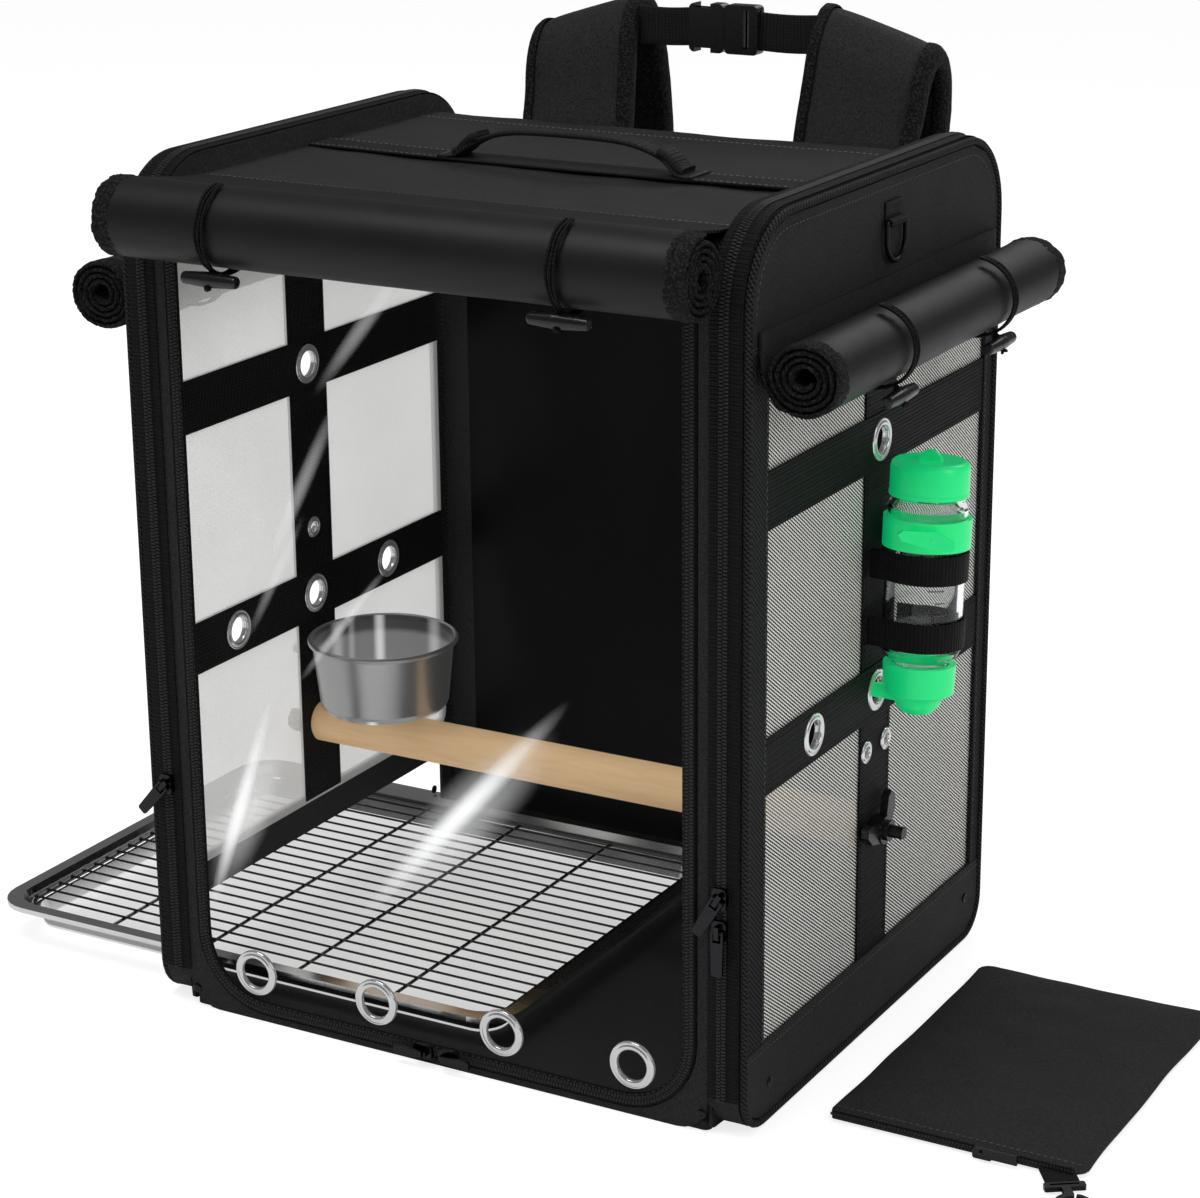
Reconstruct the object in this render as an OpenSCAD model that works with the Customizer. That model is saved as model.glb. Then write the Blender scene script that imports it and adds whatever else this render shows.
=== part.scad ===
// Bird travel carrier: a soft-sided cabin with a see-through front door, mesh
// sides, rolled-up curtains, a perch, a bowl, a side bottle and a slide-out tray.
// Millimetres. The origin is the middle of the cabin's underside.
// +X is the bottle side, -Y is the door side, +Y the shoulder-strap side, +Z is up.

/* [Cabin] */
// Width over the two side panels
body_w = 416; // [380:1:460]
// Height of the side panels
body_h = 540; // [510:1:600]
// Radius of the side panels' upper corners
top_r = 52; // [40:1:70]
// Radius of the side panels' lower corners
low_r = 34; // [26:1:40]
// Thickness of a side panel
panel_t = 3; // [2.5:0.1:4]
// Thickness of the sewn front, back and gusset walls
wall_t = 2.5; // [2:0.1:3.5]
// Thickness of the floor board
base_t = 6; // [4:0.5:10]
// Width of the gusset band between the piping and the middle section
gusset_w = 20; // [16:1:26]
// How far the top panel lies below the side panels' top
top_drop = 14; // [8:1:20]
// Radius of the piping round each side panel
pipe_r = 2.4; // [1.6:0.1:3]

/* [Side windows] */
// Border of solid fabric at the front and back of a mesh window
window_border = 17; // [14:1:24]
// Height of the right window's lower edge
window_low = 50; // [40:1:70]
// Height of both windows' upper edge
window_high = 467; // [450:1:480]
// Corner radius of the windows
window_r = 12; // [4:1:20]
// Thickness of the mesh
mesh_t = 1.2; // [0.8:0.1:1.6]
// How far the mesh is sewn in behind the window's edge
mesh_lap = 6; // [3:1:8]
// Thickness of the webbing
web_t = 1.8; // [1.4:0.1:2.4]
// Width of the webbing bands that cross the windows
band_w = 34; // [28:1:40]
// Width of the upright webbing in the windows
post_w = 42; // [38:1:50]
// Distance of the upright webbing's middle behind the cabin's middle
post_y = 5; // [0:1:12]
// Height of the upper band's middle
upper_z = 379; // [340:1:400]
// Height of the lower band's middle
lower_z = 222; // [212:1:250]

/* [Tray slot] */
// Room in the slot before and behind the tray
slot_room = 3; // [1.5:0.1:4]
// Height of the slot's upper edge
slot_top = 56; // [54:1:60]
// Corner radius at the foot of the slot
slot_r = 20; // [16:1:24]
// Width of the webbing sill above the slot
sill_w = 26; // [20:1:32]

/* [Door] */
// Width of the door over its zip
door_w = 356; // [340:1:360]
// Height of the door's hinge line
door_top = 484; // [470:1:486]
// Width of the zip and binding round the door's clear sheet
door_trim = 9; // [7:1:14]
// Radius of the door's lower corners
door_r = 50; // [30:1:70]
// Thickness of the door's binding
trim_t = 3; // [2.5:0.1:4]
// Thickness of the clear sheet
sheet_t = 1; // [0.8:0.1:1.5]
// Clearance all round the door
door_gap = 0.3; // [0.2:0.1:1]
// Distance from the door's side edge to the middle of its outer eyelet
eyelet_in = 43; // [40:1:58]
// Height of the eyelets in the clear sheet
eyelet_z = 32; // [31:1:44]

/* [Eyelets] */
// Outer radius of a large eyelet
eye_r = 13; // [11:0.5:15]
// Bore radius of a large eyelet
eye_bore = 8.5; // [7:0.5:9]
// Outer radius of a small eyelet
small_eye_r = 7; // [6:0.5:8]
// Bore radius of a small eyelet
small_eye_bore = 3.6; // [3:0.1:4]
// Outer radius of a door eyelet
door_eye_r = 15; // [13:0.5:17]
// Bore radius of a door eyelet
door_eye_bore = 10; // [8:0.5:11]
// Thickness of an eyelet's flange
eye_t = 1.2; // [1:0.1:1.4]

/* [Rolled curtains] */
// Radius of a rolled curtain
roll_r = 25; // [23:0.5:28]
// Thickness of the rolled fabric, lining and all
roll_t = 3.2; // [2.6:0.1:3.4]
// Distance from one turn of a roll to the next
roll_pitch = 4; // [3.8:0.1:5]
// Length of the front curtain's roll
front_roll_l = 390; // [360:1:400]
// Height of the front roll's middle
front_roll_z = 512; // [508:1:520]
// Length of a side curtain's roll
side_roll_l = 330; // [300:1:340]
// Height of the side rolls' middle
side_roll_z = 455; // [448:1:462]
// Distance of the front roll's ties from the middle
front_tie_x = 115; // [90:1:140]
// Distance of the side rolls' ties from the middle
side_tie_y = 72; // [50:1:110]
// Width of an elastic tie
tie_w = 7; // [5:1:9]
// Thickness of an elastic tie
tie_t = 1.6; // [1.2:0.1:2]
// Length of a toggle
toggle_l = 38; // [30:1:42]
// Radius of a toggle at its middle
toggle_r = 4.6; // [4:0.1:5]

/* [Handle and straps] */
// Distance between the ends of the carry handle
handle_l = 150; // [130:1:170]
// Width of the carry handle and of the top webbing
handle_w = 25; // [20:1:30]
// Height of the finger gap under the carry handle
handle_gap = 20; // [16:1:24]
// Thickness of the carry handle
handle_t = 3.6; // [3:0.1:5]
// Distance of a shoulder strap's middle from the middle of the back
strap_x = 101; // [90:1:110]
// Width of a shoulder strap
strap_w = 82; // [70:1:90]
// Thickness of a shoulder strap's padding
strap_t = 14; // [10:1:16]
// Width of the chest and tail webbing
tail_w = 25; // [20:1:25]

/* [Bottle] */
// Radius of the bottle
bottle_r = 24; // [21:0.5:25]
// Height from the spout to the cap's top
bottle_l = 152; // [145:1:158]
// Wall thickness of the bottle
bottle_t = 1.6; // [1.2:0.1:2.4]
// Lean of the bottle towards the back, in degrees
bottle_lean = 4.5; // [0:0.5:6]
// Height of the bottle's elastic bands
elastic_w = 18; // [14:1:19]
// Radius of the spout
spout_r = 4.5; // [3.5:0.5:5]

/* [Perch and bowl] */
// Radius of the wooden perch
perch_r = 14; // [11:0.5:16]
// Height of the perch's middle
perch_z = 132; // [120:1:134]
// Radius of the perch's end bolts
bolt_r = 4; // [3:0.5:5]
// Radius of the bowl's rim
bowl_r = 50; // [44:1:52]
// Height of the bowl's foot
bowl_z = 150; // [150:1:156]
// Depth of the bowl
bowl_h = 50; // [46:1:54]
// Wall thickness of the bowl
bowl_t = 1.2; // [1:0.1:1.6]
// Radius of the bowl's stud
stud_r = 3; // [2.5:0.5:4]

/* [Tray and rack] */
// Length of the tray
tray_l = 400; // [380:1:400]
// Width of the tray over its rim
tray_w = 310; // [296:1:330]
// Distance from the tray to the door face, and to the back panel's face
tray_room = 20; // [17:0.5:26]
// Height of the tray
tray_h = 20; // [16:1:22]
// Thickness of the tray's sheet steel
tray_t = 1; // [0.8:0.1:1.4]
// How far the tray is drawn out of the left side
tray_out = 158; // [0:1:180]
// Width of the tray's flat rim
rim_w = 9; // [6:1:12]
// Radius of the rack's frame wire
frame_wire_r = 2.2; // [1.8:0.1:2.4]
// Radius of the rack's grid wires
grid_wire_r = 1.2; // [1:0.1:1.4]
// Number of grid wires
grid_n = 21; // [15:1:24]
// Number of cross bars under the grid wires
bar_n = 4; // [3:1:5]

/* [Pouch] */
// Length of the storage pouch
pouch_l = 240; // [200:1:260]
// Width of the storage pouch
pouch_w = 164; // [140:1:180]
// Thickness of the folded pouch
pouch_t = 9; // [7:1:12]
// Gap on the floor between the cabin and the pouch
pouch_gap = 28; // [24:1:60]

/* [Hidden] */
$fn = 48;

// Colours
black_cloth = "#1b1b1d";
black_web = "#232326";
clear = "#cfd8dc60";
mesh_grey = "#8f8f8a";
steel = "#c9ccd0";
green = "#22c55e";
wood = "#d6a873";

// Clearances: parts that rest by each other, and parts that turn in each other
rest_gap = 0.3;
turn_gap = 0.08;

// Planes of the cabin
side_out = body_w / 2;
side_in = side_out - panel_t;
body_d = tray_w + 2 * tray_room;
half_d = body_d / 2;
slot_w = tray_w + 2 * slot_room;
middle_x = side_in - gusset_w;
top_z = body_h - top_drop;
middle_r = top_r - top_drop;
frame_top = body_h - top_r;
mesh_in = side_in - mesh_t;
web_out = side_in + web_t;
window_y = half_d - window_border;
left_window_low = slot_top + sill_w;
plate_inset = 2 * pipe_r + 0.2;
edge_r = 5;

// Zips
tape_w = 12;
tape_t = 0.8;
coil_w = 5;
coil_t = 2.2;
side_zip_x = side_in - 10.5;
side_zip_foot = 24;

// ---- outlines ----

function arc(cx, cy, r, from, to, n = 10) =
    [for (i = [0:n]) let (a = from + (to - from) * i / n) [cx + r * cos(a), cy + r * sin(a)]];

// Rounded rectangle about a centre
function rounded(w, h, r, cx = 0, cy = 0, n = 6) = concat(
    arc(cx + w / 2 - r, cy - h / 2 + r, r, -90, 0, n),
    arc(cx + w / 2 - r, cy + h / 2 - r, r, 0, 90, n),
    arc(cx - w / 2 + r, cy + h / 2 - r, r, 90, 180, n),
    arc(cx - w / 2 + r, cy - h / 2 + r, r, 180, 270, n));

// Outline of a side panel seen from the side, drawn in by a margin
function side_outline(inset = 0) = concat(
    arc(half_d - low_r, low_r, low_r - inset, -90, 0),
    arc(half_d - top_r, body_h - top_r, top_r - inset, 0, 90),
    arc(top_r - half_d, body_h - top_r, top_r - inset, 90, 180),
    arc(low_r - half_d, low_r, low_r - inset, 180, 270));

// Outline of the middle section seen from the side
function middle_outline(inset = 0) = concat(
    arc(half_d - edge_r, edge_r, edge_r - inset, -90, 0, 4),
    arc(half_d - middle_r, top_z - middle_r, middle_r - inset, 0, 90),
    arc(middle_r - half_d, top_z - middle_r, middle_r - inset, 90, 180),
    arc(edge_r - half_d, edge_r, edge_r - inset, 180, 270, 4));

// Unit normal of a path at a point
function normal(p, i) = let (
    a = p[max(i - 1, 0)], b = p[min(i + 1, len(p) - 1)], d = b - a) [-d[1], d[0]] / norm(d);

// Closed outline of a ribbon that follows a path
function ribbon(p, t) = let (n = len(p)) concat(
    [for (i = [0:n - 1]) p[i] + normal(p, i) * t / 2],
    [for (i = [n - 1:-1:0]) p[i] - normal(p, i) * t / 2]);

// Smooth path through hand-placed points
function blend(a, b, c, d, t) = (2 * b + (c - a) * t + (2 * a - 5 * b + 4 * c - d) * t * t
    + (3 * b - a - 3 * c + d) * t * t * t) / 2;
function smooth(p, steps = 4) = let (n = len(p) - 1) concat(
    [for (i = [0:n - 1], s = [0:steps - 1])
        blend(p[max(i - 1, 0)], p[i], p[i + 1], p[min(i + 2, n)], s / steps)],
    [p[n]]);

// ---- building helpers ----

// Extrudes a side-view outline along X, from x to x + t
module along_x(x, t) translate([x, 0, 0]) rotate([90, 0, 90]) linear_extrude(t) children();

// Extrudes a front-view outline along Y, from y to y + t
module along_y(y, t) translate([0, y + t, 0]) rotate([90, 0, 0]) linear_extrude(t) children();

// Turns something built along Z so that it lies along X
module lie_x() rotate([0, 90, 0]) children();

// Repeats on the left and on the right
module both_sides() {
    children();
    mirror([1, 0, 0]) children();
}

module bar_x(x0, x1, r) translate([x0, 0, 0]) lie_x() cylinder(h = x1 - x0, r = r);
module bar_y(y0, y1, r) translate([0, y1, 0]) rotate([90, 0, 0]) cylinder(h = y1 - y0, r = r);

// Eyelet: a barrel through the fabric with a rolled flange on each face
module eyelet(r, bore, grip) {
    barrel = bore + 0.8;
    lip = eye_t / 2;
    rotate_extrude() polygon([
        [bore, -eye_t], [r - lip, -eye_t], [r, -lip], [r, 0], [barrel, 0],
        [barrel, grip], [r, grip], [r, grip + lip], [r - lip, grip + eye_t], [bore, grip + eye_t]]);
}

// ---- cabin ----

module base_panel() color(black_cloth)
    translate([-middle_x, wall_t - half_d, 0]) cube([2 * middle_x, body_d - 2 * wall_t, base_t]);

module back_panel() color(black_cloth) along_x(-middle_x, 2 * middle_x) intersection() {
    difference() {
        polygon(middle_outline());
        translate([-half_d, 0]) square([body_d - wall_t, body_h]);
    }
    square([half_d, frame_top]);
}

module top_panel() color(black_cloth) along_x(-middle_x, 2 * middle_x) intersection() {
    difference() {
        polygon(middle_outline());
        polygon(middle_outline(wall_t));
    }
    translate([-half_d, frame_top]) square([body_d, top_r]);
}

// Outline of the door opening or of the door itself, drawn in by a margin
function door_outline(inset) = let (
    w = door_w / 2 - inset, z = door_low + inset, r = door_r - inset) concat(
    arc(w - r, z + r, r, -90, 0), [[w, door_top]], [[-w, door_top]], arc(r - w, z + r, r, 180, 270));

door_low = 4.6;

module front_frame() color(black_cloth) along_y(-half_d, wall_t) difference() {
    translate([-middle_x, 0]) square([2 * middle_x, frame_top]);
    polygon(door_outline(-door_gap));
    translate([-door_w / 2 - door_gap, door_top - 1]) square([door_w + 2 * door_gap, 1 + door_gap]);
}

module window_2d(low) polygon(rounded(2 * window_y, window_high - low, window_r, 0, (window_high + low) / 2));

// The slot has rounded lower corners, so that the tray's shoulders clear the panel's edge
module slot_2d() polygon(concat(
    arc(slot_w / 2 - slot_r, base_t + slot_r, slot_r, -90, 0, 6),
    [[slot_w / 2, slot_top]], [[-slot_w / 2, slot_top]],
    arc(slot_r - slot_w / 2, base_t + slot_r, slot_r, 180, 270, 6)));

module right_side_panel() color(black_cloth) along_x(side_in, panel_t) difference() {
    polygon(side_outline(plate_inset));
    window_2d(window_low);
}

module left_side_panel() color(black_cloth) along_x(-side_out, panel_t) difference() {
    polygon(side_outline(plate_inset));
    window_2d(left_window_low);
    slot_2d();
}

// The gusset is a band round the side panel, with an upright web that closes the
// step down to the lower middle section
module side_gussets() color(black_cloth) both_sides() union() {
    along_x(middle_x, gusset_w) difference() {
        polygon(side_outline());
        polygon(side_outline(wall_t));
    }
    along_x(middle_x, wall_t) difference() {
        union() {
            polygon(side_outline());
            polygon(middle_outline());
        }
        intersection() {
            polygon(side_outline(wall_t));
            polygon(middle_outline(wall_t));
        }
    }
}

module mesh_2d(low) difference() {
    polygon(rounded(2 * window_y + 2 * mesh_lap, window_high - low + 2 * mesh_lap,
        window_r, 0, (window_high + low) / 2));
    eyelet_holes();
    perch_hole();
}

module side_mesh() color(mesh_grey) {
    along_x(mesh_in, mesh_t) difference() {
        mesh_2d(window_low);
        pair_holes();
    }
    along_x(-side_in, mesh_t) difference() {
        mesh_2d(left_window_low);
        stud_hole();
        single_eye_hole();
    }
}

// Places of the large eyelets, of the right side's small pair and of the left side's single one
eye_pitch = 88;
eye_spots = [[post_y, upper_z], [post_y - eye_pitch, lower_z], [post_y, lower_z], [post_y + eye_pitch, lower_z]];
pair_pitch = 28;
pair_drop = 36;
pair_spots = [for (s = [-1, 1]) [post_y + s * pair_pitch / 2, lower_z - pair_drop]];
single_rise = 46;
single_spot = [post_y, lower_z + single_rise];
eye_clear = 1.1;

module eyelet_holes() for (p = eye_spots) translate(p) circle(r = eye_bore + eye_clear);
module pair_holes() for (p = pair_spots) translate(p) circle(r = small_eye_bore + eye_clear);
module single_eye_hole() translate(single_spot) circle(r = small_eye_bore + eye_clear);
module perch_hole() translate([post_y, perch_z]) circle(r = bolt_r + 0.6);
module stud_hole() translate([post_y, bowl_stud_z]) circle(r = stud_r + 0.6);

// Webbing grid of one window: two bands and an upright, sewn on to the mesh
module grid_2d(low) {
    translate([-window_y, upper_z - band_w / 2]) square([2 * window_y, band_w]);
    translate([-window_y, lower_z - band_w / 2]) square([2 * window_y, band_w]);
    translate([post_y - post_w / 2, low]) square([post_w, window_high - low]);
}

// Folded tab that carries a D-ring
tab_z = 520;
tab_y = 10;
tab_h = 22;
tab_w = 22;
dring_r = 1.6;
dring_in = 13;
dring_x = side_out + dring_r + turn_gap + 1.3;
dring_z = tab_z - tab_h / 2;

module dring_tab() difference() {
    union() {
        translate([side_out, tab_y - tab_w / 2, dring_z]) cube([web_t, tab_w, tab_h]);
        translate([dring_x, tab_y, dring_z]) bar_y(-tab_w / 2, tab_w / 2, dring_x - side_out);
    }
    translate([dring_x, tab_y, dring_z]) bar_y(-handle_w, handle_w, dring_r + turn_gap);
}

module webbing() color(black_web) {
    along_x(side_in, web_t) difference() {
        grid_2d(window_low);
        eyelet_holes();
        pair_holes();
        perch_hole();
    }
    along_x(-web_out, web_t) difference() {
        grid_2d(left_window_low);
        eyelet_holes();
        perch_hole();
        stud_hole();
        single_eye_hole();
    }
    along_x(-side_out - web_t, web_t)
        translate([-slot_w / 2, slot_top + 1]) square([slot_w, sill_w - 2]);
    both_sides() dring_tab();
    translate([rest_gap - middle_x, -handle_w / 2, top_z])
        cube([2 * middle_x - 2 * rest_gap, handle_w, web_t]);
}

// A zip runs up the front of each gusset, over the top and down the back
module zip_band(x, w, t) along_x(x - w / 2, w) difference() {
    polygon(side_outline(-t));
    polygon(side_outline());
    translate([-body_d, -body_h]) square([2 * body_d, body_h + side_zip_foot]);
}

module side_zips() color(black_web) both_sides() union() {
    zip_band(side_zip_x, tape_w, tape_t);
    zip_band(side_zip_x, coil_w, coil_t);
}

// One corner of the piping: a quarter ring in the side panel's plane
module pipe_corner(y, z, r, turn) translate([pipe_x, y, z]) rotate([90, 0, 90])
    rotate([0, 0, turn]) rotate_extrude(angle = 90) translate([r, 0]) circle(r = pipe_r);

pipe_x = side_in + pipe_r + 0.1;

module piping_ring() {
    r_top = top_r - pipe_r;
    r_low = low_r - pipe_r;
    y_top = half_d - top_r;
    y_low = half_d - low_r;
    pipe_corner(y_top, body_h - top_r, r_top, 0);
    pipe_corner(-y_top, body_h - top_r, r_top, 90);
    pipe_corner(-y_low, low_r, r_low, 180);
    pipe_corner(y_low, low_r, r_low, 270);
    translate([pipe_x, 0, body_h - pipe_r]) bar_y(-y_top, y_top, pipe_r);
    translate([pipe_x, 0, pipe_r]) bar_y(-y_low, y_low, pipe_r);
    for (s = [-1, 1]) translate([pipe_x, s * (half_d - pipe_r), low_r])
        cylinder(h = body_h - low_r - top_r, r = pipe_r);
}

module side_piping() color(black_cloth) both_sides() union() piping_ring();

module wall_eyelets() color(steel) {
    grip = web_t + mesh_t;
    for (p = eye_spots) both_sides() translate([mesh_in, p[0], p[1]]) lie_x() eyelet(eye_r, eye_bore, grip);
    for (p = pair_spots) translate([mesh_in, p[0], p[1]]) lie_x() eyelet(small_eye_r, small_eye_bore, grip);
    translate([-web_out, single_spot[0], single_spot[1]]) lie_x() eyelet(small_eye_r, small_eye_bore, grip);
}

// ---- rolled curtains ----

roll_core = 5.5;
roll_out = roll_r - roll_t / 2;
roll_turns = (roll_out - roll_core) / roll_pitch;
turn_n = 18;

// Spiral that winds clockwise from the core out to the given angle
function spiral(end) = let (n = floor(roll_turns * turn_n)) [for (i = [0:n]) let (
    back = (n - i) / turn_n, a = end + 360 * back, r = roll_out - roll_pitch * back) [r * cos(a), r * sin(a)]];

// The front roll hangs in the curve of the top panel's front edge, with room for its ties
tie_room = tie_t + 2 * rest_gap;
roll_reach = middle_r + tie_room + roll_r;
front_rise = front_roll_z - (top_z - middle_r);
front_roll_y = middle_r - half_d - sqrt(roll_reach * roll_reach - front_rise * front_rise);
side_roll_x = side_out + tie_room + roll_r;
header_y = middle_r - half_d + 6;

// Its header runs back over the top panel's edge, between the two gussets
module front_roll() color(black_cloth) difference() {
    c = [front_roll_y, front_roll_z];
    turns = [for (p = spiral(78)) c + p];
    header = [[header_y - 20, top_z + roll_t / 2 + rest_gap + 1], [header_y, top_z + roll_t / 2 + rest_gap]];
    along_x(-front_roll_l / 2, front_roll_l) polygon(ribbon(concat(turns, header), roll_t));
    both_sides() translate([middle_x - rest_gap, front_roll_y + roll_r + rest_gap, front_roll_z])
        cube([body_w, body_d, body_h]);
}

// A side curtain leaves its roll at the back and runs up its panel to the seam
module side_roll_2d() {
    c = [side_roll_x, side_roll_z];
    turns = [for (p = spiral(180)) c + p];
    seam_x = side_out + roll_t / 2 + rest_gap;
    header = [[seam_x, side_roll_z + 13], [seam_x, side_roll_z + 23]];
    polygon(ribbon(concat(turns, header), roll_t));
}

module right_roll() color(black_cloth) along_y(-side_roll_l / 2, side_roll_l) side_roll_2d();

module left_roll() color(black_cloth) mirror([1, 0, 0])
    along_y(-side_roll_l / 2, side_roll_l) side_roll_2d();

// Where a toggle sits on its roll, as an angle from the outward direction down
toggle_drop = 58;
tie_r = roll_r + rest_gap + tie_t / 2;
toggle_seat = roll_r + rest_gap + tie_t + rest_gap + toggle_r;
cord_r = 1.5;

// Elastic tie: most of a turn round the roll, and the short cord that holds the toggle.
// Built with outward along +X and the roll's axis along Y, at the roll's middle.
module tie() {
    along_y(-tie_w / 2, tie_w) polygon(ribbon(arc(0, 0, tie_r, 82, -172, 24), tie_t));
    rotate([0, toggle_drop, 0]) bar_x(tie_r, toggle_seat + toggle_r - 1, cord_r);
}

// Toggle: a swelling bar with a hole across its middle for the cord
module toggle() rotate([0, toggle_drop, 0]) translate([toggle_seat, 0, 0]) difference() {
    rotate([90, 0, 0]) rotate_extrude() polygon(concat(
        [[0, -toggle_l / 2]],
        arc(toggle_r - 2.4, 1.4 - toggle_l / 2, 1.4, -90, 0, 3),
        [[toggle_r, -3], [toggle_r, 3]],
        arc(toggle_r - 2.4, toggle_l / 2 - 1.4, 1.4, 0, 90, 3),
        [[0, toggle_l / 2]]));
    bar_x(-2 * toggle_r, 2 * toggle_r, cord_r + turn_gap);
}

module at_front_tie(side) translate([side * front_tie_x, front_roll_y, front_roll_z]) rotate([0, 0, -90]) children();
module at_right_tie(side) translate([side_roll_x, side * side_tie_y, side_roll_z]) children();
module at_left_tie(side) mirror([1, 0, 0]) at_right_tie(side) children();

module roll_ties() color(black_web) for (s = [-1, 1]) {
    at_front_tie(s) union() tie();
    at_right_tie(s) union() tie();
    at_left_tie(s) union() tie();
}

module front_left_toggle() color("#111113") at_front_tie(-1) toggle();
module front_right_toggle() color("#111113") at_front_tie(1) toggle();
module left_front_toggle() color("#111113") at_left_tie(-1) toggle();
module left_back_toggle() color("#111113") at_left_tie(1) toggle();
module right_front_toggle() color("#111113") at_right_tie(-1) toggle();
module right_back_toggle() color("#111113") at_right_tie(1) toggle();

// ---- handle and straps ----

strip_z = top_z + web_t;

module carry_handle() color(black_web) along_y(-handle_w / 2, handle_w) {
    foot = handle_l / 2;
    low = strip_z + handle_t / 2 + rest_gap;
    high = strip_z + handle_gap + handle_t / 2;
    polygon(ribbon(smooth([
        [-foot - 14, low], [-foot - 4, low], [-foot + 6, low + 1], [-foot + 20, high - 5], [-foot + 42, high],
        [foot - 42, high], [foot - 20, high - 5], [foot - 6, low + 1], [foot + 4, low], [foot + 14, low]], 3), handle_t));
}

// The padded strap springs from the top of the back, arches over and comes down behind
strap_foot = strap_t / 2 + 2 * rest_gap;
function behind(points) = [for (p = points) [half_d + p[0], p[1]]];
strap_path = behind([[strap_foot, 470], [strap_foot, 490], [strap_foot + 2, 515], [17, 545], [24, 574], [37, 590],
    [52, 584], [61, 560], [65, 510], [65, 440], [61, 370], [51, 300], [37, 250]]);

module strap_at(x) translate([x, 0, 0]) along_x(-strap_w / 2, strap_w) polygon(ribbon(smooth(strap_path, 3), strap_t));
module left_shoulder_strap() color(black_cloth) strap_at(-strap_x);
module right_shoulder_strap() color(black_cloth) strap_at(strap_x);

// Webbing tail from the end of the padding down to the foot of the back panel
tail_path = behind([[33.3, 243], [28, 226], [17, 170], [7, 110], [1.4, 78], [1.4, 40]]);
adjuster_w = tail_w + 12;
adjuster_l = 26;
adjuster_t = 7;
adjuster_at = [half_d + 27.2, 222];
adjuster_lean = 15;

// Chest webbing, between the padded straps and the buckle
chest_y = half_d + 31;
chest_z = 584;
chest_end = strap_x - strap_w / 2;
buckle_h = 32;
buckle_t = 10;
socket_l = 26;
plug_l = 24;
// Where the chest webbing ends inside the plug, clear of the prongs when the plug is out
web_in_plug = 17.5;

module chest_band(x0, x1) translate([x0, chest_y - web_t / 2, chest_z - tail_w / 2]) cube([x1 - x0, web_t, tail_w]);

module strap_webbing() color(black_web) {
    both_sides() translate([strap_x, 0, 0]) along_x(-tail_w / 2, tail_w) polygon(ribbon(smooth(tail_path, 3), web_t));
    chest_band(-chest_end, -socket_l - rest_gap);
    chest_band(web_in_plug, chest_end);
}

// Ladder lock: a frame with two slots that the tail webbing threads through
module strap_adjusters() color("#111113") both_sides()
    translate([strap_x, adjuster_at[0], adjuster_at[1]]) rotate([-adjuster_lean, 0, 0]) difference() {
        translate([-adjuster_w / 2, -adjuster_t / 2, -adjuster_l / 2]) cube([adjuster_w, adjuster_t, adjuster_l]);
        translate([-tail_w / 2 - 1, -web_t / 2 - 1.2, -adjuster_l]) cube([tail_w + 2, web_t + 2.4, 2 * adjuster_l]);
        for (z = [-6, 6]) translate([-tail_w / 2 - 1, -adjuster_t, z - 3]) cube([tail_w + 2, 2 * adjuster_t, 6]);
    }

// Side-release buckle: a socket with open sides, and a plug with two prongs
prong_h = 5;
prong_l = 17;
module buckle_socket() color("#111113") difference() {
    along_y(chest_y - buckle_t / 2, buckle_t) polygon(rounded(socket_l, buckle_h, 4, -socket_l / 2, chest_z));
    cavity_h = buckle_h - 5;
    translate([3 - socket_l, chest_y - buckle_t / 2 + 2, chest_z - cavity_h / 2]) cube([socket_l, buckle_t - 4, cavity_h]);
    for (s = [-1, 1]) translate([4 - socket_l, chest_y - buckle_t, chest_z + s * buckle_h / 2 - 3])
        cube([12, 2 * buckle_t, 6]);
}

module buckle_plug() color("#111113") difference() {
    union() {
        along_y(chest_y - buckle_t / 2, buckle_t)
            polygon(rounded(plug_l, buckle_h, 3, plug_l / 2 + rest_gap, chest_z));
        for (s = [-1, 1]) translate([-prong_l, chest_y - 2.4, chest_z + s * (buckle_h / 2 - 6.4) - prong_h / 2])
            cube([prong_l + 2, 4.8, prong_h]);
    }
    translate([-1, chest_y - web_t / 2 - 0.6, chest_z - tail_w / 2 - 0.5])
        cube([2 * plug_l, web_t + 1.2, tail_w + 1]);
    translate([plug_l / 2 + 2, chest_y - buckle_t, chest_z - tail_w / 2]) cube([4, 2 * buckle_t, tail_w]);
}

// D-ring: a straight bar through its tab and a half ring below
module dring() translate([dring_x, tab_y, dring_z]) union() {
    bar_y(-dring_in, dring_in, dring_r);
    for (s = [-1, 1]) translate([0, s * dring_in, -10]) cylinder(h = 10, r = dring_r);
    for (s = [-1, 1]) translate([0, s * dring_in, 0]) sphere(r = dring_r);
    translate([0, 0, -10]) rotate([90, 0, 90]) rotate([0, 0, 180])
        rotate_extrude(angle = 180) translate([dring_in, 0]) circle(r = dring_r);
}

module right_dring() color("#3a3a3e") dring();
module left_dring() color("#3a3a3e") mirror([1, 0, 0]) dring();

// ---- bottle ----

foot_h = 22;
clip_z = 94;
clip_h = 18;
clip_t = 2.4;
bottle_x = web_out + rest_gap + clip_t + turn_gap + bottle_r;
cap_z = 124;
neck_r = 18;
elastic_z = [33, 74];
lever_turn = -60;
lever_pin_r = 2.2;

// The bottle's own frame: its axis up, its spout at the height of the lower eyelet
module on_bottle() translate([bottle_x, post_y, lower_z]) rotate([-bottle_lean, 0, 0]) children();

// Elastic band, from the upright webbing round the bottle and back
module bottle_loops() color(black_web) on_bottle() for (z = elastic_z) translate([0, 0, z]) {
    seat = web_out - bottle_x + rest_gap;
    side = post_w / 2 - 1;
    linear_extrude(elastic_w) polygon(ribbon(concat(
        [[seat, -side]], arc(0, 0, bottle_r + rest_gap + web_t / 2, -120, 120, 24), [[seat, side]]), web_t));
}

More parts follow.
